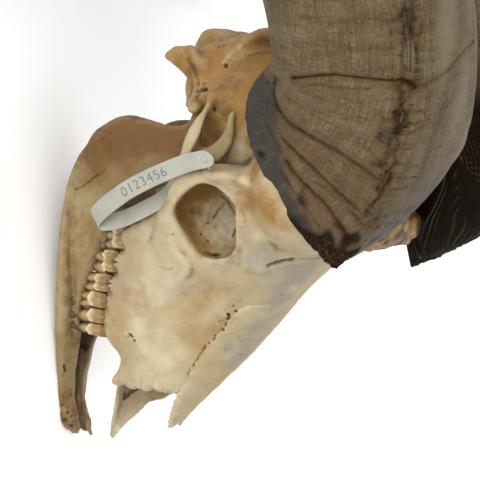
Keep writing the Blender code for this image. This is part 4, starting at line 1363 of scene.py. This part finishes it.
def buildTooth(values, side, upper, middle, length, width, lobes):
    table = values["upper" if upper else "lower"]
    gum = readOff(table["gum"], middle)
    if upper:
        height, x, down = gum - readOff(values["bite"], middle) + 0.6, readOff(table["x"], middle), -1
    else:
        height, x, down = readOff(values["bite"], middle) - gum, readOff(jaw["sideways"], middle) - 0.7, 1
    outline = toothOutline(values, length, width, lobes, upper)
    # no two teeth stand alike
    tilt, swing = (noise.noise(Vector((middle * 0.9, 5 * k, 2.0 + upper))) for k in (1, 2))
    gum += 0.8 * noise.noise(Vector((middle * 0.7, 3.0, 9.0 + upper)))
    levels = (
        # height up the crown in mm, spread of the outline, share of the cusps, darkness, paleness, ochre
        (-values["rootDepth"], 0.78, 0, 0.6, 0, 0.9), (-1.5, 0.88, 0, 0.9, 0, 0.8),
        (0.2, 0.97, 0, 0.55, 0, 0.6), (0.12 * height + 0.6, 1.0, 0, 0.4, 0.0, 0.5),
        (0.3 * height, 1.02, 0.05, 0.12, 0.1, 0.3), (0.5 * height, 1.01, 0.15, 0.05, 0.2, 0.2),
        (0.66 * height, 0.99, 0.35, 0.05, 0.3, 0.2), (0.8 * height, 0.98, 0.6, 0.0, 0.6, 0.1),
        (height - 0.7, 0.96, 0.95, 0.0, 0.95, 0), (height, 0.92, 1, 0, 1.0, 0),
        (height - 0.1, 0.84, 1, 0, 0.9, 0), (height - 0.8, 0.77, 0.95, 0.25, 0, 0.9),
        (height - 1.1, 0.55, 0.8, 0.35, 0, 0.9), (height - 0.3, 0.42, 0.6, 0.0, 0.6, 0.2),
        (height - 1.6, 0.3, 0.3, 0.9, 0, 0.5), (height - 2.2, 0.12, 0.1, 1, 0, 0.3),
    )
    rings, shades = [], []
    for z, reach, cusps, dark, light, warm in levels:
        ring = []
        for s, out, along, ridge in outline:
            share = ((s + 1) / 2 * lobes) % 1.0
            cusp = (1 - abs(2 * share - 1)) ** 0.8
            if (out > 0) != upper:
                cusp = 0.75 * cusp - 0.25
            rise = z + values["cusp"] * (cusp - 0.35) * cusps
            valley = max(0.0, 1 - cusp * 2.5)
            wobble = 0.25 * noise.noise(Vector((middle * 1.7 + s * 3, z * 0.6, out * 0.4 + side * 9)))
            streak = noise.noise(Vector((middle * 3.1 + s * 7, z * 0.3, out * 0.5 + side)))
            fold = (1 - ridge) ** 1.5 * (0.3 < z < height - 0.3)
            shades.append((
                dark + 0.4 * valley * (z < height - 0.2) + 0.12 * fold + 0.3 * max(0, streak),
                light * (1 - 0.25 * valley), warm + 0.45 * fold + 0.9 * max(0, -streak)))
            flare = 1.2 * (z / max(height, 1)) * (1 if upper else 0.6)
            ring.append(at(
                side * (x + flare * 0.5 + out * reach + wobble + 0.9 * swing),
                middle + along * reach * (0.985 + 0.02 * math.sin(middle)) + 0.22 * tilt * z,
                gum + down * rise))
        rings.append(ring)
    tooth = skinOver("tooth", rings)
    shades += [(0.6, 0, 0.9), (1, 0, 0.3)]
    for name, column in (("stainAndShade", 0), ("pale", 1), ("ochre", 2)):
        paint(tooth, name, [shade[column] for shade in shades])
    applyModifier(tooth, "SUBSURF", levels=1, render_levels=1)
    return tooth


def buildRow(values, side, upper, sizes):
    row = []
    r = values["upper" if upper else "lower"]["first"]
    for k, (length, width) in enumerate(sizes):
        lobes = 1 if k < (3 if upper else 2) else 2
        if not upper and k == 5:
            lobes = 3
        row.append(buildTooth(values, side, upper, r - length / 2, length, width, lobes))
        r -= length
    return joined(("upper" if upper else "lower") + "Teeth" + ("Left" if side > 0 else "Right"), row)


enamel = toothFinish()
for side in (-1, 1):
    settle(buildRow(teeth, side, True, upperTeethSizes), "bone", enamel, "cranium")
    settle(
        buildRow(teeth, side, False, lowerTeethSizes), "bone", enamel,
        "mandible_left" if side > 0 else "mandible_right")


def buildStub():
    # the one front tooth that is left, a worn brown stub in the left half of the jaw
    stub = addBar(
        [(6, 115, -41, 1.8, 2.2), (6, 120.5, -37, 1.9, 1.9), (6.2, 124, -34.6, 1.6, 1.5),
         (6.3, 126.5, -33.2, 1.2, 1.0)])
    applyModifier(stub, "SUBSURF", levels=2, render_levels=2)
    for name, value in (("stainAndShade", 0.35), ("pale", 0.2), ("ochre", 0.9)):
        paint(stub, name, [value] * len(stub.data.vertices))
    stub.name = "frontToothStub"
    return stub


settle(buildStub(), "bone", enamel, "mandible_left")
print("teeth ready")

# horns: sheaths lofted through their growth sections, ring by ring
horn = {
    "steps": 430, "sides": 176, "sag": 9.0, "corner": 4 / 11, "domeRings": 14, "meanRadius": 58,
    "leftLift": {26: 9, 60: 5, 97: 0},
    # how far the rim of the left sheath is grown back, by share of the way round
    "leftRim": {
        0.2: 0, 0.27: 10, 0.32: 14, 0.355: 5, 0.38: 0, 0.5: 0, 0.58: 2, 0.64: 6, 0.7: 18, 0.76: 26,
        0.84: 14, 0.95: 0,
    },
    "keelShift": {26: 0, 45: 0, 59: -0.014, 76: -0.03, 88: -0.016, 96: -0.014, 120: 0},
    "lip": {
        0: 4, 0.03: 16, 0.068: 37, 0.09: 36, 0.114: 34, 0.136: 31, 0.16: 28, 0.182: 25, 0.205: 21,
        0.227: 17, 0.25: 13, 0.295: 11, 0.36: 12, 0.45: 9, 0.6: 8, 0.9: 6, 1.0: 4,
    },
    "leftLean": {26: 3, 41: 13, 56: 24, 76: 26, 97: 20, 168: 9, 258: 0},
    "stations": (
        # tilt of the section, its centre r, z and x, height, width, sideways share of the growth direction
        (26, -88, 153, 42, 138, 92, 0.62), (56, -113, 175, 56, 131, 90, 0.52),
        (84, -147, 188, 73, 123, 89, 0.42), (97, -195, 186, 94, 122, 88, 0.36),
        (117, -248, 168, 115, 118, 85, 0.30), (143, -290, 126, 130, 112, 81, 0.28),
        (168, -311, 76, 144, 103, 75, 0.28), (193, -312, 24, 158, 92, 68, 0.32),
        (217, -291, -21, 174, 78, 59, 0.38), (240, -256, -50, 191, 62, 48, 0.42),
        (258, -223, -60, 206, 47, 38, 0.44),
    ),
    "baseOutline": (
        (0.35, -1.0), (0.84, -0.69), (1.0, -0.2), (0.92, 0.4), (0.62, 0.98), (0.34, 1.0),
        (0.03, 0.93), (-0.38, 0.7), (-0.82, 0.32), (-0.86, -0.35), (-0.35, -0.92),
    ),
    "bodyOutline": (
        (0.3, -1.0), (0.8, -0.72), (1.02, -0.25), (1.05, 0.25), (0.98, 0.74), (0.6, 0.97),
        (0.05, 1.06), (-0.5, 1.0), (-0.92, 0.55), (-0.92, -0.15), (-0.45, -0.82),
    ),
    # growth lines: tilt, depth in mm, width in degrees, darkness
    "growthLines": (
        (33, 0.3, 1.0, 0.15), (39, 0.6, 1.3, 0.2), (46, 0.6, 1.4, 0.2), (52, 0.3, 1.2, 0.15),
        (60, 0.7, 1.8, 0.25), (70, 0.25, 1.5, 0.15), (79, 0.2, 1.2, 0.12), (99, 0.4, 1.6, 0.3),
        (108, 0.7, 1.8, 0.45), (116, 0.4, 1.4, 0.3), (126, 0.9, 1.8, 0.55), (135, 0.4, 1.5, 0.3),
        (146, 0.9, 1.9, 0.6), (155, 0.5, 1.4, 0.3), (165, 0.8, 1.8, 0.55), (174, 0.5, 1.5, 0.35),
        (184, 0.9, 2.0, 0.6), (196, 0.6, 1.7, 0.4), (206, 0.6, 1.9, 0.45), (217, 0.6, 2.0, 0.5),
        (229, 0.5, 2.0, 0.4), (242, 0.5, 2.0, 0.4),
    ),
}

hornTones = ("line", "band", "crust", "polish", "brown", "fray", "frontShade", "tarAndShade")


def hornRing(values, row, side, sag):
    tilt, r, z, x, height, width, sideways = row
    if side > 0:
        r += readOff(values["leftLean"], tilt)
        z += readOff(values["leftLift"], tilt)
    angle = math.radians(tilt)
    outward = np.array((0, math.cos(angle), math.sin(angle)))
    growth = np.array((0, -math.sin(angle), math.cos(angle)))
    lateral = np.array((side * math.sqrt(1 - sideways ** 2), 0, 0)) - growth * sideways
    body = min(1, max(0, (tilt - 26) / 40))
    pairs = zip(values["baseOutline"], values["bodyOutline"])
    outline = [(a + body * (c - a), b + body * (d - b)) for (a, b), (c, d) in pairs]
    closed = outline[-1:] + outline + outline[:2]
    turns = [k / values["sides"] for k in range(values["sides"])]
    shares = np.array(
        [between(closed, 1 + len(outline) * k / values["sides"]) for k in range(values["sides"])])
    wide, high = shares[:, :1], shares[:, 1:]
    hang = growth * -0.6 * sag * np.maximum(0, wide) * (1 - high)
    if side > 0:
        back = readAlong(values["leftRim"], turns)[:, None]
        hang = hang + growth * back * max(0, 1 - (tilt - 26) / 36)
    return np.array((side * x, r, z)) + lateral * wide * width / 2 + outward * high * height / 2 + hang


def buildHorn(side, values):
    steps, sides = values["steps"], values["sides"]
    last = len(values["stations"]) - 1
    rows = [between(values["stations"], last * k / (steps - 1)) for k in range(steps)]
    grid = np.array([
        hornRing(values, row, side, values["sag"] * max(0, 1 - 23 * k / (steps - 1)))
        for k, row in enumerate(rows)])
    tilts = np.array([row[0] for row in rows])
    middle = grid[-1].mean(axis=0)
    ahead = middle - grid[-3].mean(axis=0)
    ahead /= np.linalg.norm(ahead)
    closing = np.linspace(0.12, 1.45, values["domeRings"])  # the blunt tip
    dome = [middle + (grid[-1] - middle) * math.cos(a) + ahead * 10 * math.sin(a) for a in closing]
    grid = np.concatenate([grid, np.array(dome)])
    tilts = np.concatenate([tilts, tilts[-1] + np.linspace(0.3, 4, values["domeRings"])])
    lengths = np.linalg.norm(np.diff(grid, axis=0), axis=2)
    grown = np.concatenate([np.zeros((1, sides)), np.cumsum(lengths, axis=0)])
    around = np.arange(sides) / sides
    tangentAlong = np.gradient(grid, axis=0)
    tangentRound = np.roll(grid, -1, axis=1) - np.roll(grid, 1, axis=1)
    normal = lengthOne(np.cross(tangentRound, tangentAlong))
    centres = grid.mean(axis=1)[:, None, :]
    normal *= np.sign(((grid - centres) * normal).sum(axis=(1, 2)))[:, None, None]
    circle = np.stack([np.cos(2 * np.pi * around), np.sin(2 * np.pi * around)], axis=1)
    radius = values["meanRadius"]

    def field(roundScale, alongScale, seed):
        # noise that follows the sheath: how fast it changes round it and along it, per millimetre
        found = np.empty(grown.shape)
        for k in range(grown.shape[0]):
            mean = grown[k].mean()
            along = mean * alongScale + seed * 3 * side
            for j in range(sides):
                x, y = circle[j][0] * radius * roundScale + seed, circle[j][1] * radius * roundScale
                found[k, j] = noise.noise(Vector((x, y, along)))
        return found

    wave = field(0.03, 0.02, 2.0)
    tilted = tilts[:, None] + 1.6 * wave
    lift = np.zeros(grown.shape)
    tone = {name: np.zeros(grown.shape) for name in hornTones}
    fade = 0.35 + 0.65 * held(wave * 1.5 + 0.75)
    for centre, depth, width, dark in values["growthLines"]:
        off = (tilted - centre) / width
        lift += (-depth * np.exp(-off ** 2) + 0.45 * depth * np.exp(-((off - 2.2) / 1.8) ** 2)) * fade
        tone["line"] = np.maximum(tone["line"], dark * np.exp(-(off * 1.2) ** 2) * fade)
        tone["brown"] = np.maximum(tone["brown"], dark * np.exp(-((off + 1.5) / 2.6) ** 2) * 0.8)
    stria = field(0.55, 0.012, 5.0)
    lift += 0.16 * stria + 0.35 * field(0.10, 0.03, 9.0) + 0.8 * field(0.025, 0.012, 4.0)
    corner = values["corner"] + readAlong(values["keelShift"], tilts)[:, None]
    # share of the way round from the keel, above 0 in front
    beside = (around[None, :] - corner + 0.5) % 1 - 0.5
    cornerGap = np.abs(beside) * 2 * np.pi * radius
    knots = field(0.16, 0.16, 12.0)
    wander = 8 * field(0.02, 0.06, 7.0) + 3 * field(0.1, 0.25, 27.0)
    begun = held((tilts[:, None] - 34) / 12)
    keel = held(1 - (cornerGap + wander) / 12) * begun
    frayed = held(1 - (cornerGap + wander) / np.where(beside > 0, 26, 12)) * begun
    cross = field(0.10, 0.7, 6.0)
    lift += keel * (1.3 * knots - 0.5) + frayed * 1.1 * cross
    tone["line"] = np.maximum(tone["line"], keel * np.clip(0.1 - knots * 1.6, 0, 0.8))
    tone["brown"] = np.maximum(tone["brown"], keel * 0.7)
    tone["fray"] = frayed * held(0.75 + 1.2 * field(0.05, 0.06, 31.0))
    # the lip of dark new horn along the base
    lipWidth = readAlong(values["lip"], around)[None, :]
    bandWidth = lipWidth * (1 + 0.25 * field(0.06, 0.05, 3.0)) + 3 * field(0.15, 0.1, 33.0)
    edge = held((bandWidth - grown) / (3 + 0.2 * lipWidth) + 0.5)
    tone["band"] = edge
    step = np.exp(-((grown - bandWidth) / 2.5) ** 2)
    lift += -0.5 * edge + 0.35 * edge * field(0.5, 0.25, 8.0) - 0.4 * step
    crust = held(1 - cornerGap / 42) * held(1 - grown / 34)
    crust = held(crust * 2.6 + 1.3 * field(0.12, 0.12, 15.0) - 0.35) * (grown < 40)
    tone["crust"] = crust
    lift += crust * (1.6 * field(0.35, 0.35, 16.0) + 0.3)
    ragged = held(1 - grown / 2.5) * field(0.35, 0.2, 18.0) * 1.2
    front = held((beside - 0.05) / 0.05) * held((0.36 - beside) / 0.05)
    tone["polish"] = front * held(0.55 + 1.4 * field(0.05, 0.02, 20.0))
    low = held((74 - tilts[:, None]) / 24)
    tone["brown"] = np.maximum(tone["brown"], 0.75 * low * held(0.55 + 1.2 * field(0.06, 0.04, 47.0)))
    # the lower front face of each horn, turned from the light, is painted a dark bluish grey: painted shade
    tone["frontShade"] = held((beside - 0.02) / 0.07) * held((0.4 - beside) / 0.1) * low
    tone["frontShade"] *= held(0.9 + field(0.08, 0.03, 37.0))
    # the left horn, the far one, is painted near-black near its base: partly tar, partly painted shade
    if side > 0:  # the left horn is tarry near its base, with close growth ridges round it
        tone["tarAndShade"] = held(1.25 - grown / 100 + 0.5 * field(0.04, 0.03, 39.0))
        spacing = grown / 4.2 + 1.5 * field(0.03, 0.08, 41.0)
        ridges = np.sin(spacing * 2 * np.pi) * held(0.6 + 1.6 * field(0.02, 0.09, 43.0))
        ridges *= held(1.5 - grown / 80)
        lift += 0.6 * ridges * held(cornerGap / 25)
        tone["fray"] = np.maximum(tone["fray"], held(ridges) * 0.9)
        tone["line"] = np.maximum(tone["line"], 0.6 * held(-ridges))
    grid = grid + normal * lift[:, :, None] * held(1.3 - tilts[:, None, None] / 400)
    grid -= lengthOne(tangentAlong) * ragged[:, :, None]
    rings = [[at(*p) for p in ring] for ring in grid]
    sheath = skinOver("horn" + ("Left" if side > 0 else "Right"), rings)
    for name, shade in tone.items():
        paint(sheath, name, np.concatenate([shade.ravel(), [0, 0]]).astype(np.float32))
    columns = (circle[:, 0] * radius, circle[:, 1] * radius, grown.mean(axis=1)[:, None])
    follow = np.stack([np.broadcast_to(column, grown.shape) for column in columns], axis=2).reshape(-1, 3)
    follow = np.concatenate([follow, [[0, 0, 0], [0, 0, grown.max()]]])
    layer = sheath.data.attributes.new("follow", "FLOAT_VECTOR", "POINT")
    layer.data.foreach_set("vector", follow.astype(np.float32).ravel())
    return sheath


# what shows on the near horn, by its place in the picture: half width, depth, darkness, raggedness
hornGrooves = (
    (((293.5, 78), (300, 77.5), (318, 75.5), (336, 74.5), (345, 76), (360, 78), (382, 80), (400, 80.5),
      (408, 83)), 0.8, 1.0, 1.0, 0.3),
    (((400, 80.5), (408, 83), (414, 87)), 2.0, 2.0, 1.0, 0.5),
    (((293, 78), (294.5, 78)), 1.2, 1.5, 1.1, 0.3),
    (((414, 87), (425, 85), (437, 79), (447, 72), (458, 58), (466, 50), (474, 42)), 1.6, 1.0, 0.4, 0.4),
    (((306.5, 84.8), (320, 84), (341, 87.5), (352, 89), (372, 88.5)), 0.5, 0.4, 0.6, 0.4),
    (((275, 78), (273.5, 90), (275, 104), (280.4, 113.6), (287, 122), (300, 131), (317.5, 141), (332, 149),
      (345, 157.7), (359, 166), (372, 176), (383, 184)), 1.8, 1.3, 0.6, 0.4),
    (((283, 140), (295, 152), (309, 164.5), (320, 176), (331, 186.5), (345, 199), (358, 211)), 1.7, 1.4,
     0.6, 0.4),
    (((285, 160), (292.8, 172.8), (312, 192), (325, 205), (336.8, 222), (341, 226)), 1.8, 1.5, 0.65, 0.4),
    (((281, 172), (295, 195), (310, 215), (320, 229)), 1.5, 0.8, 0.35, 0.5),
    (((390, 30), (390.5, 55), (391.5, 81)), 0.6, 0.6, 0.65, 0.4),
    (((311, 56), (345, 52), (393, 49)), 2.4, 0.5, 0.28, 0.5),
    (((300, 20), (330, 23), (380, 20)), 2.4, 0.5, 0.25, 0.5),
    (((386, 24), (398, 19), (404, 16)), 1.5, 0.8, 0.45, 0.5),
    (((406, 12), (408, 22), (409, 34)), 3.2, 1.8, 0.7, 0.6),
    (((409, 34), (416, 36), (421, 35), (422, 24)), 0.9, 0.8, 0.6, 0.4),
    (((402, 96), (398, 112), (396, 128)), 1.8, 1.2, 0.6, 0.7),
    (((392, 134), (388, 150), (384, 160)), 1.6, 1.1, 0.5, 0.7),
    (((336, 224), (343, 230), (348, 240)), 2.2, 1.4, 0.8, 0.6),
    (((352, 214), (362, 224), (378, 228)), 1.4, 0.9, 0.5, 0.5),
    (((396, 114), (416, 111), (425, 113)), 0.6, 0.5, 0.6, 0.4),
    (((396, 136), (412, 132), (422, 128)), 0.6, 0.5, 0.55, 0.4),
    (((392, 163), (405, 166), (417, 166)), 0.6, 0.5, 0.6, 0.4),
    (((384, 185), (395, 190), (406, 187)), 0.6, 0.5, 0.6, 0.4),
    # the keel: wandering cracks along it and short ones that run out over the front face
    (((403, 92), (399, 100), (403, 110), (397, 118), (401, 127), (396, 136), (399, 144), (393, 153),
      (396, 162), (389, 170), (391, 178), (384, 187), (381, 196), (372, 204), (366, 213)), 0.9, 1.1, 0.95,
      0.7),
    (((409, 90), (406, 100), (409, 109), (404, 118), (405, 128)), 0.7, 0.8, 0.8, 0.7),
    (((388, 140), (391, 150), (386, 160), (388, 171), (380, 180), (377, 190)), 0.7, 0.8, 0.8, 0.7),
    (((399, 105), (406, 106), (413, 104)), 0.4, 0.4, 0.7, 0.6),
    (((398, 121), (410, 124), (430, 119)), 0.5, 0.5, 0.8, 0.6),
    (((397, 147), (404, 149), (411, 149)), 0.4, 0.4, 0.6, 0.6),
    (((389, 173), (402, 179), (418, 176)), 0.5, 0.5, 0.7, 0.6),
    (((382, 191), (390, 195), (398, 196)), 0.4, 0.4, 0.7, 0.6),
    (((366, 211), (382, 217), (399, 211)), 0.5, 0.5, 0.7, 0.6),
)


def detailHorn(sheath, tree, near):
    clay = openClay(sheath)
    for pixels, width, depth, dark, ragged in hornGrooves:
        lines = marks(near, pixels, False)[0]
        if tree is not near:  # the same on the other horn
            lines = snapped(tree, [(-p.x, p.y, p.z) for p in lines])
        carve(clay, wiggled(lines, 0.5, 1.2), width, depth, dark, ragged)
        carve(clay, wiggled(lines, 0.5, 1.2), width * 2.5, 0.2, dark * 1.2, ragged, "ochre")
    writePlaces(clay)
    mesh = sheath.data
    for name, tint in (("line", "stainAndShade"), ("brown", "ochre")):
        shade = np.empty(len(mesh.vertices), dtype=np.float32)
        mesh.attributes[name].data.foreach_get("value", shade)
        mesh.attributes[name].data.foreach_set("value", np.maximum(shade, clay[tint]).astype(np.float32))
    mesh.update()


def hornFinish():
    # horn keratin grown in cones and weathered: dull brown-grey with fine lengthwise streaks, brown growth
    # lines, a rough frayed keel, and a charcoal lip of new horn along the base
    material, shader = newMaterial("weatheredHornKeratin", 0.55, 1.36)
    follow = addNode(material, "Attribute", {"attribute_name": "follow"}).outputs["Vector"]
    place = addNode(material, "TexCoord").outputs["Object"]
    read = readTones(material, hornTones)

    def streaks(size, stretch, detail):
        # noise drawn out along the growth; size in millimetres across it
        scale = {"Scale": (1 / size, 1 / size, 1 / (size * stretch))}
        drawnOut = addNode(material, "Mapping", scale, {"Vector": follow}).outputs[0]
        return addNoise(material, 1000, detail, 0.65, drawnOut)

    fibre, bands, clouds = streaks(0.9, 22, 6.0), streaks(7, 4, 5.0), streaks(30, 0.6, 6.0)
    hatch = streaks(12, 0.07, 3.0)  # faint cross lines, about 0.8 mm apart
    stains = streaks(22, 0.16, 5.0)  # brown bands round the horn, 3.5 mm
    grit = streaks(1.1, 1.6, 5.0)  # grain finer than the fibres
    dashes = streaks(7, 0.17, 4.0)  # frayed ends of fibres, 1.2 mm apart
    specks = addNoise(material, 1.6, 4.0, 0.65, place)

    def times(first, second):
        return reckon(material, "MULTIPLY", first, second)

    colour = twoTones(material, clouds, (0.36, "#48371D"), (0.64, "#5E4D31"))
    for tone, amount, low, high, most in (
            ("#766848", bands, 0.48, 0.72, 0.55), ("#3A270F", stains, 0.48, 0.66, 0.72),
            ("#352613", hatch, 0.5, 0.72, 0.36), ("#33240F", fibre, 0.52, 0.7, 0.7),
            ("#857757", fibre, 0.45, 0.28, 0.45), ("#2E2110", grit, 0.52, 0.72, 0.5),
            ("#8A7C5C", grit, 0.47, 0.3, 0.45), ("#4A2F14", read["brown"], 0.1, 0.9, 0.7),
            # the dark bluish grey of the lower front face is painted shade
            ("#756954", read["polish"], 0.2, 1.0, 0.55), ("#303234", read["frontShade"], 0.25, 1.0, 0.75),
            ("#24170B", times(dashes, read["fray"]), 0.27, 0.44, 0.92),
            ("#8A7754", times(fibre, read["fray"]), 0.42, 0.55, 0.35),
            ("#1E1F1C", read["band"], 0.1, 0.95, 0.82),
            # scuffs on the dark lip
            ("#5C5C55", times(times(fibre, read["band"]), bands), 0.25, 0.42, 0.35),
            # near-black base of the far horn: partly tar, partly painted shade
            ("#120B05", read["tarAndShade"], 0.05, 0.7, 0.96),
            ("#575040", times(read["fray"], read["tarAndShade"]), 0.2, 0.85, 0.55),
            ("#1C120A", read["crust"], 0.1, 0.6, 0.92),
            ("#5A4428", times(specks, read["crust"]), 0.52, 0.66, 0.7),
            ("#171008", read["line"], 0.2, 1.0, 0.9)):
        colour = laid(material, colour, tone, amount, low, high, most)
    rough = mapped(material, bands, 0.35, 0.7, 0.46, 0.7)
    dark = reckon(
        material, "MAXIMUM", reckon(material, "MAXIMUM", read["tarAndShade"], read["line"]), read["crust"])
    # the painted shade on the far horn, the crust and the cracks stay matt
    sheen = mapped(material, dark, 0.0, 0.8, 0.5, 0.04)  # soot and cracks stay matt
    tall = reckon(material, "MULTIPLY_ADD", hatch, 0.6, fibre)
    tall = reckon(material, "MULTIPLY_ADD", times(dashes, read["fray"]), read["fray"], tall)
    normal = bumped(material, tall, 0.8, 0.7)
    wire(material, shader, Base_Color=colour, Roughness=rough, Specular_IOR_Level=sheen, Normal=normal)
    return material


keratin = hornFinish()
sheaths = {side: buildHorn(side, horn) for side in (-1, 1)}
hornTrees = {side: treeOf(sheath) for side, sheath in sheaths.items()}
for side, sheath in sheaths.items():
    detailHorn(sheath, hornTrees[side], hornTrees[-1])
    sheath.data.transform(leanOver)
    trimTo(sheath, (0, 0, 0), (0, 0, 1))
    sheath.data.transform(leanOver.inverted())
    settle(sheath, "horn", keratin, "horn_left" if side > 0 else "horn_right")
print("horns ready")

# the numbered strap: a stiff band folded once and riveted above the cheek arch
strap = {
    "width": 12.6, "thick": 1.1, "digits": "0123456", "digitHeight": 6.8, "steps": 220,
    "path": (
        (-67.5, -82, 81.3), (-68.5, -79.3, 72.6), (-69.5, -76.1, 62.4), (-70.5, -68.1, 45.1),
        (-71, -62.6, 34.7), (-71, -55.9, 23.2), (-70.5, -48.6, 13), (-69.3, -42.6, 5.2), (-67, -37.1, -1.3),
        (-63.8, -33.6, -4.7), (-60.8, -31.3, -4.2), (-58.6, -31.3, 1.1), (-57.5, -33.7, 9.5),
        (-56, -37.6, 18.4), (-53.6, -45.2, 30.9), (-51.5, -51.4, 39.9), (-50, -56.8, 44),
        (-50, -61.7, 46.6), (-50.5, -68.1, 51.5), (-52.5, -73.1, 58.8), (-57, -77.4, 68), (-62, -77.8, 73),
        (-65.4, -79, 76),
    ),
    "twist": {0: 0, 0.42: 0, 0.52: 16, 0.6: 27, 0.76: 27, 0.9: 8, 1: 0},  # share of the length, degrees
    "rivet": (-68, -80.2, 76), "rivetRadii": (2.4, 2.4, 0.7), "facing": (-0.93, 0.12, 0.36),
    "digitsFrom": 52,  # middle of the number, along the strap
}


def strapFrames(values):
    steps, last = values["steps"], len(values["path"]) - 1
    centres = [at(*between(values["path"], last * k / steps)) for k in range(steps + 1)]
    facing = Vector(values["facing"]).normalized()
    across = (centres[0] - centres[steps // 2]).normalized().cross(facing).normalized()
    frames = []
    for k, centre in enumerate(centres):
        ahead = (centres[min(k + 1, steps)] - centres[max(k - 1, 0)]).normalized()
        turn = math.radians(readOff(values["twist"], k / steps))
        own = (across * math.cos(turn) + facing * math.sin(turn)).normalized()
        frames.append((centre, own, own.cross(ahead).normalized()))
    return frames, across, facing


def buildStrap(values):
    frames, across, facing = strapFrames(values)
    far = [0.0]
    for one, two in zip(frames, frames[1:]):
        far.append(far[-1] + (two[0] - one[0]).length / mm)
    rings = []
    half, thick = values["width"] / 2, values["thick"] / 2
    for (centre, own, out), done in zip(frames, far):
        left = min(done, 99) if done < half else half
        reach = half * math.sqrt(max(0.02, 1 - (1 - min(1, left / half)) ** 2))  # the free end is rounded
        ring = []
        for k in range(28):
            a = 2 * math.pi * k / 28
            wide = math.copysign(abs(math.cos(a)) ** 0.28, math.cos(a)) * reach
            deep = math.copysign(abs(math.sin(a)) ** 0.6, math.sin(a)) * thick
            ring.append(centre + (own * wide + out * deep) * mm)
        rings.append(ring)
    band = skinOver("strapBand", rings)
    place = at(*values["rivet"]) + facing * 0.9 * mm
    clearSelection()
    size = [radius * mm for radius in values["rivetRadii"]]
    bpy.ops.mesh.primitive_uv_sphere_add(segments=32, ring_count=16, radius=1, location=place, scale=size)
    head = bpy.context.object
    head.name = "strapRivet"
    head.rotation_euler = facing.to_track_quat("Z", "Y").to_euler()
    bpy.ops.object.transform_apply(location=True, rotation=True, scale=True)
    return band, head, frames, far, across


def buildDigits(values, frames, far, across):
    # the number, drawn flat and then wrapped on the outer face of the strap, reading up from the fold
    clearSelection()
    bpy.ops.object.text_add(location=(0, 0, 0))
    words = bpy.context.object
    words.data.body = values["digits"]
    words.data.size = 1.0
    words.data.align_x, words.data.align_y = "CENTER", "CENTER"
    words.data.space_character = 1.12
    words.data.extrude = 0.01
    bpy.ops.object.convert(target="MESH")
    words = bpy.context.object
    applyModifier(words, "REMESH", mode="VOXEL", voxel_size=0.02)
    scale = values["digitHeight"] / 0.72
    ticks = np.array(far)
    centres = np.array([tuple(frame[0]) for frame in frames])
    outs = np.array([tuple(frame[2]) for frame in frames])
    facing = Vector(values["facing"])
    for vertex in words.data.vertices:
        where = values["digitsFrom"] - vertex.co.x * scale
        spot = Vector([np.interp(where, ticks, centres[:, k]) for k in range(3)])
        out = Vector([np.interp(where, ticks, outs[:, k]) for k in range(3)])
        if out.dot(facing) < 0:
            out.negate()
        lift = values["thick"] / 2 + (0.12 if vertex.co.z > 0 else -0.1)
        vertex.co = spot + (across * vertex.co.y * scale * -1 + out * lift) * mm
    words.name = "strapDigits"
    faceOutwards(words)
    return words


def plainFinish(name, tone, roughness, size, change):
    # moulded nylon, a little yellowed and scuffed: soft satin sheen with faint streaks and grime
    material, shader = newMaterial(name, roughness, 1.42)
    place = addNode(material, "TexCoord").outputs["Object"]
    cloud = addNoise(material, size, 6.0, 0.6, place)
    colour = twoTones(material, cloud, (0.3, tone[0]), (0.6, tone[1]))
    rough = mapped(material, cloud, 0.3, 0.7, roughness - change, roughness + change)
    wire(material, shader, Base_Color=colour, Roughness=rough, Normal=bumped(material, cloud, 0.15, 0.1))
    return material


band, rivetHead, strapLine, strapFar, strapAcross = buildStrap(strap)
digits = buildDigits(strap, strapLine, strapFar, strapAcross)
nylon = plainFinish("yellowedNylonStrap", ("#8E8D84", "#9C9A8F"), 0.42, 14.0, 0.06)
engraved = plainFinish("printedGreyDigits", ("#5F5F5A", "#6E6D67"), 0.5, 2.0, 0.05)
settle(band, "strap", nylon, "specimen_tag")
settle(rivetHead, "strap", nylon, "specimen_tag")
settle(digits, "strap", engraved, "specimen_tag")
print("strap ready")
